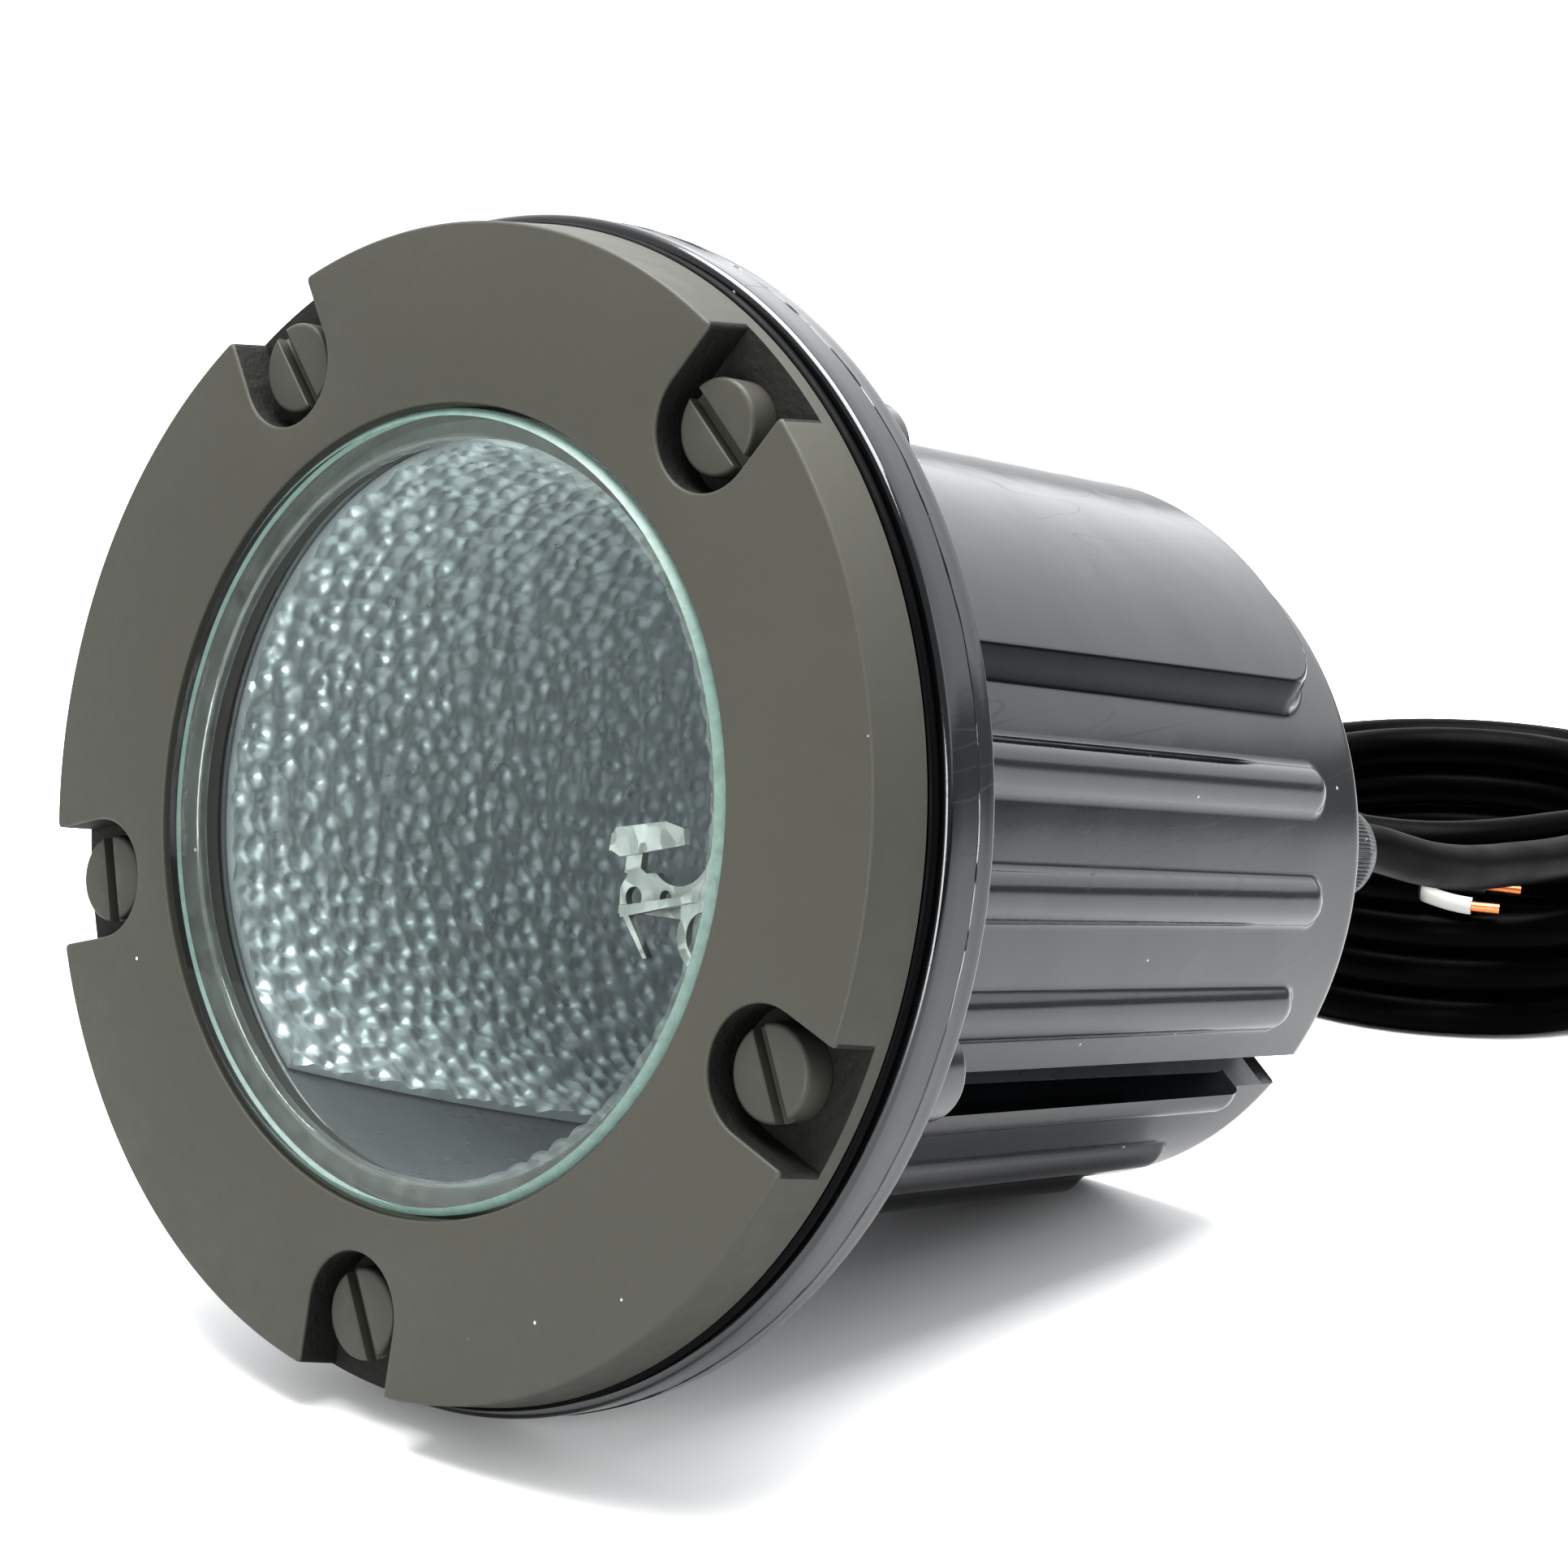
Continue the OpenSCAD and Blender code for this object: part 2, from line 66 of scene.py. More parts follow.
joints = {j["name"]: j for j in frame["joints"]}
front = np.array(joints["face_lift"]["axis"], float)
front /= np.linalg.norm(front)
right = np.array([1.0, 0, 0])
up = np.cross(front, right)
screw_places = [np.array(joints[f"screw_{i}_turn"]["pos_m"], float) for i in range(1, 6)]
SCREW_DEPTH = 3.0
face_centre = np.mean(screw_places, axis=0) + SCREW_DEPTH * MM * front

# Sizes in millimetres, as in the CAD model; a depth is counted behind the front face
FACE_R, BASE_R, RING_T = 65.0, 65.8, 7.6
OPENING_R, LEDGE_R = 45.0, 41.6
GLASS_R, GLASS_T, GLASS_CHAMFER = 44.5, 4.0, 0.9
SCREW_R, SCREW_FIRST, SCREW_STEP = 57.1, 54.0, 72.0
POCKET_W, POCKET_D, HEAD_R, HEAD_TOP = 14.2, 5.6, 5.2, 1.7
FLANGE_FRONT, FLANGE_BACK, FLANGE_R = 9.1, 17.0, 67.2
HOUSING_L, FLOOR_TOP = 120.0, 117.0


def to_world(points):
    """Turns points (x, y, depth) in millimetres in the light's own frame into metres in the part's frame."""
    p = np.asarray(points, float).reshape(-1, 3)
    return face_centre + MM * (p[:, :1] * right + p[:, 1:2] * up - p[:, 2:] * front)


def to_local(point):
    """Turns a point in metres in the part's frame back into (x, y, depth) in millimetres."""
    v = (np.asarray(point, float) - face_centre) / MM
    return np.array([v @ right, v @ up, -(v @ front)])


# --------------------------------------------------------- mesh building

WELD = 1e-7
SLIVER = 1e-8
# A ring of points this small stands for a point on the axis
AXIS_R = 0.001


def grid_faces(rows, cols, wrap=True, start=0):
    """Quads of a grid of points stored row by row."""
    last = cols if wrap else cols - 1
    r, c = np.meshgrid(np.arange(rows - 1), np.arange(last), indexing="ij")
    n = (c + 1) % cols
    quads = np.stack([r * cols + c, r * cols + n, (r + 1) * cols + n, (r + 1) * cols + c], -1)
    return (quads.reshape(-1, 4) + start).tolist()


def finish_mesh(mesh, sharp):
    """Welds doubles, turns the normals outward and shades smooth up to an angle in degrees."""
    bm = bmesh.new()
    bm.from_mesh(mesh)
    bmesh.ops.remove_doubles(bm, verts=bm.verts, dist=WELD)
    bmesh.ops.dissolve_degenerate(bm, edges=bm.edges, dist=SLIVER)
    bmesh.ops.recalc_face_normals(bm, faces=bm.faces)
    bm.to_mesh(mesh)
    bm.free()
    mesh.shade_smooth()
    mesh.set_sharp_from_angle(angle=math.radians(sharp))


def link_piece(name, mesh, materials):
    """An object in the scene that shows a mesh with these materials."""
    for material in materials:
        mesh.materials.append(material)
    piece = bpy.data.objects.new(name, mesh)
    scene.collection.objects.link(piece)
    return piece


def make_piece(name, points, faces, materials, sharp=38):
    """A mesh object from points in the light's own frame, with its normals turned outward."""
    mesh = bpy.data.meshes.new(name)
    mesh.from_pydata(to_world(points).tolist(), [], faces)
    piece = link_piece(name, mesh, materials)
    finish_mesh(mesh, sharp)
    return piece


def make_skin(name, rows, materials, sharp=38):
    """A mesh object from rings of points, each joined to the next."""
    return make_piece(name, np.concatenate(rows), grid_faces(len(rows), len(rows[0])), materials, sharp)


def around(steps):
    """Even angles once round, in degrees."""
    return np.arange(steps) * 360 / steps


def polar(radius, angle, depth):
    """Points on circles about the light's axis; angles in degrees."""
    a = np.radians(angle)
    r, a, d = np.broadcast_arrays(radius, a, depth)
    return np.stack([r * np.cos(a), r * np.sin(a), d], -1)


def on_circle(radius, angles):
    """Points (x, y) on a circle; angles in radians."""
    return radius * np.stack([np.cos(angles), np.sin(angles)], -1)


def turn_2d(points, degrees):
    """Points (x, y) turned about the axis."""
    a = math.radians(degrees)
    c, s = math.cos(a), math.sin(a)
    return np.asarray(points) @ np.array([[c, s], [-s, c]])


def screw_angle(number):
    """Where a screw and its pocket stand, in degrees; the screws are numbered from 1."""
    return SCREW_FIRST + (number - 1) * SCREW_STEP


def screw_place(number):
    """The middle of a screw as (x, y)."""
    return turn_2d([(SCREW_R, 0)], screw_angle(number))[0]


def quarter(steps=5, first=1):
    """Steps round a rounded edge, as pairs that run from 0 to 1: one fast at first, the other slow."""
    turns = [math.pi / 2 * k / steps for k in range(first, steps + 1)]
    return [(math.sin(a), 1 - math.cos(a)) for a in turns]


def revolved(profile, steps=256, centre=(0, 0), closed=True):
    """A profile of (radius, depth) turned about an axis through centre; closed joins its two ends."""
    whole = [*profile, profile[0]] if closed else profile
    rows = [polar(r, around(steps), d) for r, d in whole]
    return np.concatenate(rows) + np.array([*centre, 0]), grid_faces(len(rows), steps)


def smooth_max(a, b, k):
    """The larger of two arrays, blended where they differ by less than k."""
    h = np.maximum(k - np.abs(a - b), 0) / k
    return np.maximum(a, b) + h * h * k / 4


def smoothstep(t):
    """A soft step from 0 to 1 as t goes from 0 to 1."""
    t = np.clip(t, 0, 1)
    return t * t * (3 - 2 * t)


def wave(seed, angles, terms):
    """A smooth random function of an angle in degrees, between about -1 and 1."""
    rng = np.random.default_rng(seed)
    total = np.zeros_like(angles)
    for k in terms:
        amp, phase = rng.uniform(0.5, 1), rng.uniform(0, 2 * math.pi)
        total += amp * np.sin(2 * math.pi * k * angles / 360 + phase)
    return total / math.sqrt(len(terms))


# -------------------------------------------------------------- materials


class Nodes:
    """Adds nodes to a tree and links them; a value may be a number or another node's output."""

    def __init__(self, tree):
        self.tree = tree

    def add(self, kind, inputs=(), **settings):
        node = self.tree.nodes.new(kind)
        for key, value in settings.items():
            setattr(node, key, value)
        for key, value in dict(inputs).items():
            self.set(node.inputs[key], value)
        return node

    def set(self, socket, value):
        if isinstance(value, bpy.types.NodeSocket):
            self.tree.links.new(value, socket)
        else:
            socket.default_value = value

    def ramp(self, value, low, high, out_low=0.0, out_high=1.0, **settings):
        inputs = {0: value, 1: low, 2: high, 3: out_low, 4: out_high}
        return self.add("ShaderNodeMapRange", inputs, **settings).outputs[0]

    def math(self, operation, a, b=0.0):
        return self.add("ShaderNodeMath", {0: a, 1: b}, operation=operation).outputs[0]

    def blend(self, share, a, b):
        """Shader a, with this share of shader b in it."""
        return self.add("ShaderNodeMixShader", {0: share, 1: a, 2: b}).outputs[0]


class Surface(Nodes):
    """One material's node tree, around its Principled shader."""

    def __init__(self, name):
        self.material = bpy.data.materials.new(name)
        self.material.use_nodes = True
        super().__init__(self.material.node_tree)
        self.shader = self.tree.nodes["Principled BSDF"]
        self.output = self.tree.nodes["Material Output"]
        self.where = self.add("ShaderNodeTexCoord").outputs["Object"]

    def noise(self, scale, detail=3, roughness=0.5, stretch=None):
        vector = self.where
        if stretch:
            mapped = self.add("ShaderNodeMapping", {"Vector": vector, "Scale": stretch})
            vector = mapped.outputs[0]
        inputs = {"Vector": vector, "Scale": scale, "Detail": detail, "Roughness": roughness}
        return self.add("ShaderNodeTexNoise", inputs).outputs["Fac"]

    def cells(self, scale):
        """Random cells, as the distance to each one's middle and a random tone for each."""
        made = self.add("ShaderNodeTexVoronoi", {"Vector": self.where, "Scale": scale}).outputs
        tone = self.add("ShaderNodeSeparateColor", {0: made["Color"]}).outputs[0]
        return made["Distance"], tone

    def mix(self, factor, a, b):
        node = self.add("ShaderNodeMix", data_type="RGBA")
        self.set(node.inputs["Factor"], factor)
        self.set(node.inputs["A"], a)
        self.set(node.inputs["B"], b)
        return node.outputs["Result"]

    def bump(self, height, distance, strength=1.0, below=None):
        inputs = {"Height": height, "Distance": distance, "Strength": strength}
        if below is not None:
            inputs["Normal"] = below
        return self.add("ShaderNodeBump", inputs).outputs[0]

    def finish(self, **sockets):
        for key, value in sockets.items():
            self.set(self.shader.inputs[key.replace("_", " ")], value)
        return self.material


def rgb(r, g, b):
    return (r, g, b, 1)


def scaled(colour, k):
    """A colour made lighter or darker."""
    return (colour[0] * k, colour[1] * k, colour[2] * k, 1)


def dusty(n, tint, scale, share, cover, dust):
    """A tint with sparse small spots of dust on it; share is how many of the cells have one."""
    distance, tone = n.cells(scale)
    spot = n.ramp(distance, 0.11, 0.06)
    picked = n.math("GREATER_THAN", tone, 1 - share)
    return n.mix(n.math("MULTIPLY", n.math("MULTIPLY", spot, picked), cover), tint, dust)


def plain(name, colour, roughness, metallic=0.0, grain=900, depth=0.00004, spread=0.08, shine=0.5):
    """A material with fine grain, slight colour drift and uneven gloss."""
    n = Surface(name)
    drift = n.noise(60, 4)
    fine = n.noise(grain, 3, 0.6)
    tint = n.mix(drift, scaled(colour, 1 - spread), scaled(colour, 1 + spread))
    gloss = n.ramp(n.noise(140, 4, 0.6), 0.3, 0.7, roughness * 0.85, min(1, roughness * 1.15))
    normal = n.bump(fine, depth, 0.6)
    return n.finish(Base_Color=tint, Roughness=gloss, Metallic=metallic, Normal=normal,
                    Specular_IOR_Level=shine)


def painted(name, colour, roughness, rough_cast):
    """Powder coat over a casting: fine orange peel, faint cloudiness and a little dust."""
    n = Surface(name)
    cast_depth = 0.00035 if rough_cast else 0.00004
    cloud = n.noise(45, 4, 0.55)
    tint = n.mix(cloud, scaled(colour, 0.95), scaled(colour, 1.06))
    tint = dusty(n, tint, 420, 0.02, 0.55, rgb(0.62, 0.61, 0.56))
    gloss = n.ramp(n.noise(320, 5, 0.6), 0.3, 0.7, roughness - 0.05, roughness + 0.07)
    peel = n.bump(n.noise(1500, 2, 0.5), 0.00002, 0.5)
    cast = n.bump(n.noise(650, 5, 0.65), cast_depth, 0.9, peel)
    return n.finish(Base_Color=tint, Roughness=gloss, Normal=cast, Specular_IOR_Level=0.22)


def moulded(name, colour, low, high, shine=0.55):
    """Satin moulded plastic with hazy patches, hair scratches and a slightly wavy surface."""
    n = Surface(name)
    haze = n.ramp(n.noise(26, 5, 0.6), 0.42, 0.72)
    drift = n.noise(9, 3, 0.5)
    tint = n.mix(haze, scaled(colour, 0.92), scaled(colour, 1.35))
    tint = n.mix(n.ramp(drift, 0.3, 0.7, 0.0, 0.3), tint, scaled(colour, 0.75))
    scratch = n.ramp(n.noise(70, 2, 0.5, (1, 0.06, 1)), 0.498, 0.502)
    line = n.math("MULTIPLY", scratch, n.math("SUBTRACT", 1.0, scratch))
    tint = dusty(n, tint, 380, 0.022, 0.6, rgb(0.5, 0.5, 0.48))
    gloss = n.ramp(haze, 0.0, 1.0, low, high)
    gloss = n.math("ADD", gloss, n.math("MULTIPLY", line, 0.6))
    waves = n.bump(n.noise(55, 2, 0.4), 0.0005, 0.35)
    fine = n.bump(n.noise(1400, 2, 0.5), 0.000012, 0.5, waves)
    return n.finish(Base_Color=tint, Roughness=gloss, Normal=fine, Specular_IOR_Level=shine)


def sheet_metal(name, colour, roughness, spangle, metallic=1.0):
    """Bare metal; spangle is how many zinc crystals it shows in a metre, or 0 for none."""
    n = Surface(name)
    tone = n.cells(spangle)[1] if spangle else n.noise(240, 5, 0.65)
    streak = n.noise(420, 4, 0.7, (1, 1, 0.3))
    tint = n.mix(tone, scaled(colour, 0.72), scaled(colour, 1.1))
    tint = n.mix(n.ramp(streak, 0.45, 0.8, 0, 0.35), tint, scaled(colour, 0.5))
    gloss = n.ramp(tone, 0, 1, roughness * 0.7, roughness * 1.35)
    fine = n.bump(n.noise(1700, 4, 0.7), 0.00003, 0.6)
    return n.finish(Base_Color=tint, Roughness=gloss, Metallic=metallic, Normal=fine)


def clear(name, tint, roughness, facing_shine, white=0.0, bend=0.0):
    """Clear solid with a shine that grows towards grazing angles.

    white is how milky it is. bend is its refractive index, or 0 for a thin wall that bends nothing.
    """
    n = Surface(name)
    mixed = n.add("ShaderNodeBsdfTransparent", {"Color": tint}).outputs[0]
    if bend:
        ray = n.add("ShaderNodeLightPath").outputs
        seen_through = n.math("MAXIMUM", ray["Is Camera Ray"], ray["Is Transmission Ray"])
        bent = n.add("ShaderNodeBsdfRefraction", {"Color": tint, "Roughness": 0.0, "IOR": bend})
        mixed = n.blend(seen_through, mixed, bent.outputs[0])
    shine = n.add("ShaderNodeBsdfGlossy", {"Color": rgb(1, 1, 1), "Roughness": roughness})
    grazing = n.math("POWER", n.add("ShaderNodeLayerWeight").outputs["Facing"], 5.0)
    edge = n.ramp(grazing, 0.0, 1.0, facing_shine, 1.0)
    mixed = n.blend(edge, mixed, shine.outputs[0])
    if white:
        milk = n.add("ShaderNodeBsdfDiffuse", {"Color": rgb(0.85, 0.88, 0.87)})
        body = n.ramp(n.noise(500, 4, 0.6), 0.35, 0.75, white * 0.5, white * 1.5)
        mixed = n.blend(body, mixed, milk.outputs[0])
    n.tree.nodes.remove(n.shader)
    n.set(n.output.inputs["Surface"], mixed)
    return n.material


def frosted_edge(name):
    """Ground edge of thick float glass: green, matte, with fine chips."""
    n = Surface(name)
    tone = n.noise(700, 5, 0.7)
    tint = n.mix(tone, rgb(0.045, 0.075, 0.065), rgb(0.13, 0.19, 0.165))
    chips = n.bump(n.noise(1300, 4, 0.7), 0.00008, 0.8)
    return n.finish(Base_Color=tint, Roughness=0.42, Normal=chips)


PAINT = (0.0370, 0.0368, 0.0310)
ring_paint = painted("ring_paint", PAINT, 0.52, False)
# Painted shade: the pockets' walls, floors and screw holes get the face's paint at 0.3 of its lightness
shaded_pocket_paint = painted("shaded_pocket_paint", scaled(PAINT, 0.30), 0.72, True)
screw_paint = painted("screw_paint", scaled(PAINT, 0.92), 0.5, False)
housing_plastic = moulded("housing_plastic", (0.0028, 0.0034, 0.0041), 0.07, 0.22)
# Painted light: the cup's inside is a far lighter copy of the same moulded plastic
lit_cavity_plastic = moulded("lit_cavity_plastic", (0.085, 0.092, 0.098), 0.26, 0.38)
# Painted shade: a darker, barely reflective copy of the housing plastic paints a dark reflection on the
# pad's flank
shaded_flank_plastic = moulded("shaded_flank_plastic", (0.0020, 0.0024, 0.0030), 0.10, 0.24, 0.10)
gland_plastic = moulded("gland_plastic", (0.015, 0.017, 0.018), 0.36, 0.48)
gasket_rubber = plain("gasket_rubber", (0.0006, 0.0006, 0.0007), 0.5, grain=700, depth=0.00006, shine=0.08)
seal_rubber = plain("seal_rubber", (0.014, 0.014, 0.015), 0.6)
cable_jacket = plain("cable_jacket", (0.0006, 0.0006, 0.0006), 0.38, grain=1300, depth=0.00002, shine=0.04)
black_insulation = plain("black_insulation", (0.012, 0.012, 0.013), 0.42)
white_insulation = plain("white_insulation", (0.30, 0.30, 0.28), 0.5)
copper = plain("copper", (0.42, 0.16, 0.075), 0.35, metallic=1.0, grain=2400, depth=0.00008)
hammered = sheet_metal("hammered_aluminium", (0.84, 0.89, 0.92), 0.30, 0, 0.76)
galvanised = sheet_metal("galvanised_steel", (0.50, 0.51, 0.50), 0.42, 520)
plated = sheet_metal("plated_steel", (0.62, 0.62, 0.60), 0.3, 0)
brass = plain("brass", (0.72, 0.50, 0.20), 0.32, metallic=1.0)
tungsten = plain("tungsten", (0.30, 0.30, 0.31), 0.35, metallic=1.0)
ceramic = plain("ceramic", (0.80, 0.77, 0.70), 0.38, spread=0.05)
connector_nylon = plain("connector_nylon", (0.78, 0.70, 0.50), 0.4)
lens_glass = clear("lens_glass", rgb(0.95, 0.975, 0.965), 0.01, 0.04, bend=1.5)
lens_edge = frosted_edge("lens_edge")
silicone = clear("silicone", rgb(0.93, 0.95, 0.94), 0.05, 0.05, 0.05)
lamp_glass = clear("lamp_glass", rgb(0.95, 0.97, 0.98), 0.02, 0.06)

# ------------------------------------------------------------------ cords

LEAD_D = 6.3
LEAD_ROUTE = [
    (31, 74, 44.6), (31, 80, 43), (31, 86, 40.8), (31, 92, 38.6), (30.7, 98, 36.8),
    (30.3, 104, 35.3), (29.7, 111, 33.9), (29, 118, 32.7), (28.4, 125, 31.5),
    (27.9, 132, 30.5), (27.4, 139, 29.7), (27.1, 146, 29.3), (27, 152, 29.2),
]
COIL_CENTRE = (-7.8, 163.0)
OUTER_R, INNER_R = 34.8, 28.4
LAYERS = [3.2, 9.66, 16.12, 22.58, 29.2]
# Where the lead changes radius or height: (from angle, to angle, radius after, height after)
COIL_MOVES = [
    (285, 335, INNER_R, LAYERS[4]), (595, 695, INNER_R, LAYERS[3]), (955, 1055, INNER_R, LAYERS[2]),
    (1315, 1415, INNER_R, LAYERS[1]), (1675, 1775, INNER_R, LAYERS[0]), (1860, 1920, OUTER_R, LAYERS[0]),
    (2120, 2220, OUTER_R, LAYERS[1]), (2480, 2580, OUTER_R, LAYERS[2]), (2840, 2940, OUTER_R, LAYERS[3]),
]
COIL_END, COIL_STEP = 3174, 6
CORE_D = 2.6
# A core's bare points at its end, the copper's points under its sleeve, and the copper's diameter
BARE_POINTS, HIDDEN_POINTS, STRAND_D = 7, 3, CORE_D * 0.62
CORE_ROUTES = {
    "core_black": [
        (1, 129.6, 22.4), (5, 131.6, 22.4), (9, 134.4, 22.6), (13, 137.6, 22.4), (17, 141, 21.8),
    ],
    "core_white": [
        (5, 130.6, 22), (8, 130.9, 21.4), (11, 131.5, 20.9), (14, 132.6, 20.6), (17.5, 134.6, 20.4),
    ],
}


def coil_route():
    """The whole coil, turn by turn: top turn first, then down the inside and up the outside."""
    route = []
    for angle in range(0, COIL_END + 1, COIL_STEP):
        radius, height = OUTER_R, LAYERS[4]
        for begin, end, new_radius, new_height in COIL_MOVES:
            share = float(smoothstep((angle - begin) / (end - begin)))
            radius += (new_radius - radius) * share
            height += (new_height - height) * share
        a = math.radians(angle)
        x, y = COIL_CENTRE[0] + radius * math.cos(a), COIL_CENTRE[1] + radius * math.sin(a)
        route.append((x, y, height))
    return route


def spline_through(points, steps):
    """Extra points on a smooth Catmull-Rom line through a route."""
    p = np.array(points, float)
    p = np.vstack([2 * p[0] - p[1], p, 2 * p[-1] - p[-2]])
    out = []
    for i in range(1, len(p) - 2):
        for k in range(steps):
            t = k / steps
            out.append(0.5 * (2 * p[i] + (p[i + 1] - p[i - 1]) * t
                              + (2 * p[i - 1] - 5 * p[i] + 4 * p[i + 1] - p[i + 2]) * t * t
                              + (3 * p[i] - p[i - 1] - 3 * p[i + 1] + p[i + 2]) * t ** 3))
    return np.vstack([out, p[-2]])


def tube(name, points, diameter, material, sides=5):
    """A round cord along points in millimetres of the part's frame."""
    curve = bpy.data.curves.new(name, "CURVE")
    curve.dimensions = "3D"
    spline = curve.splines.new("POLY")
    spline.points.add(len(points) - 1)
    for target, p in zip(spline.points, points):
        target.co = (*(np.array(p) * MM), 1)
    spline.use_smooth = True
    curve.bevel_depth = diameter / 2 * MM
    curve.bevel_resolution = sides
    curve.use_fill_caps = True
    curve.materials.append(material)
    piece = bpy.data.objects.new(name, curve)
    scene.collection.objects.link(piece)
    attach(piece, "housing_assembly")
    return piece


lead_points = np.vstack([spline_through(LEAD_ROUTE, 3), coil_route()])
lead = tube("supply_lead", lead_points, LEAD_D, cable_jacket, 7)
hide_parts("cable", "cable_coil")
cores = []
CORE_LOOKS = [
    ("core_black", black_insulation, "black_insulation"),
    ("core_white", white_insulation, "white_insulation"),
]
for core_name, core_material, core_slot in CORE_LOOKS:
    fine = spline_through(CORE_ROUTES[core_name], 6)
    cut = len(fine) - BARE_POINTS
    sleeve = tube(core_name + "_sleeve", fine[:cut + 1], CORE_D, core_material)
    strand = tube(core_name + "_strands", fine[cut - HIDDEN_POINTS:], STRAND_D, copper)
    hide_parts(core_name)
    cores += [sleeve, strand]

# -------------------------------------------------------------- face ring

RING_EDGE, POCKET_EDGE, BACK_EDGE = 0.38, 0.7, 0.25
WALL_POINTS, ARC_POINTS, RIM_POINTS, GAP_POINTS, HOLE_POINTS, OPENING_POINTS = 10, 28, 60, 14, 32, 240
SCREW_HOLE_R = 2.9
SEAT_D, LEDGE_EDGE = GLASS_T + 0.6, 0.3
# Material indices: the face's paint, and the rougher pocket paint that is darkened as painted shade
PLAIN, ROUGH_SHADED = 0, 1


def ring_radius(depth):
    """The ring's outer radius, which grows a little towards its back."""
    return FACE_R + (BASE_R - FACE_R) * depth / RING_T


def pocket_path(radius, grow=0.0):
    """One pocket's edge, from its near corner round the screw to the far corner, about the x axis."""
    half = POCKET_W / 2 + grow
    reach = math.sqrt(radius ** 2 - half ** 2)
    first = math.asin(half / radius) + POCKET_EDGE / radius
    start = np.array([radius * math.cos(first), radius * math.sin(first)])
    tip = np.array([reach, half])
    inner = np.array([reach - POCKET_EDGE, half])
    path = [(1 - t) ** 2 * start + 2 * t * (1 - t) * tip + t * t * inner for t in np.linspace(0, 1, 5)]
    path += [np.array([x, half]) for x in np.linspace(reach - POCKET_EDGE, SCREW_R, WALL_POINTS)[1:]]
    straight = len(path)
    for degrees in np.linspace(90, 270, ARC_POINTS)[1:]:
        a = math.radians(degrees)
        path.append(np.array([SCREW_R + half * math.cos(a), half * math.sin(a)]))
    path = np.array(path)
    mirrored = path[:straight][::-1] * [1, -1]
    return np.vstack([path, mirrored[1:]])


def rim_arc(path, radius):
    """Points on the rim from this pocket's first point to the next pocket's last point."""
    first = math.degrees(math.atan2(path[0][1], path[0][0]))
    angles = np.linspace(first, SCREW_STEP - first, RIM_POINTS + 2)[1:-1]
    return on_circle(radius, np.radians(angles))


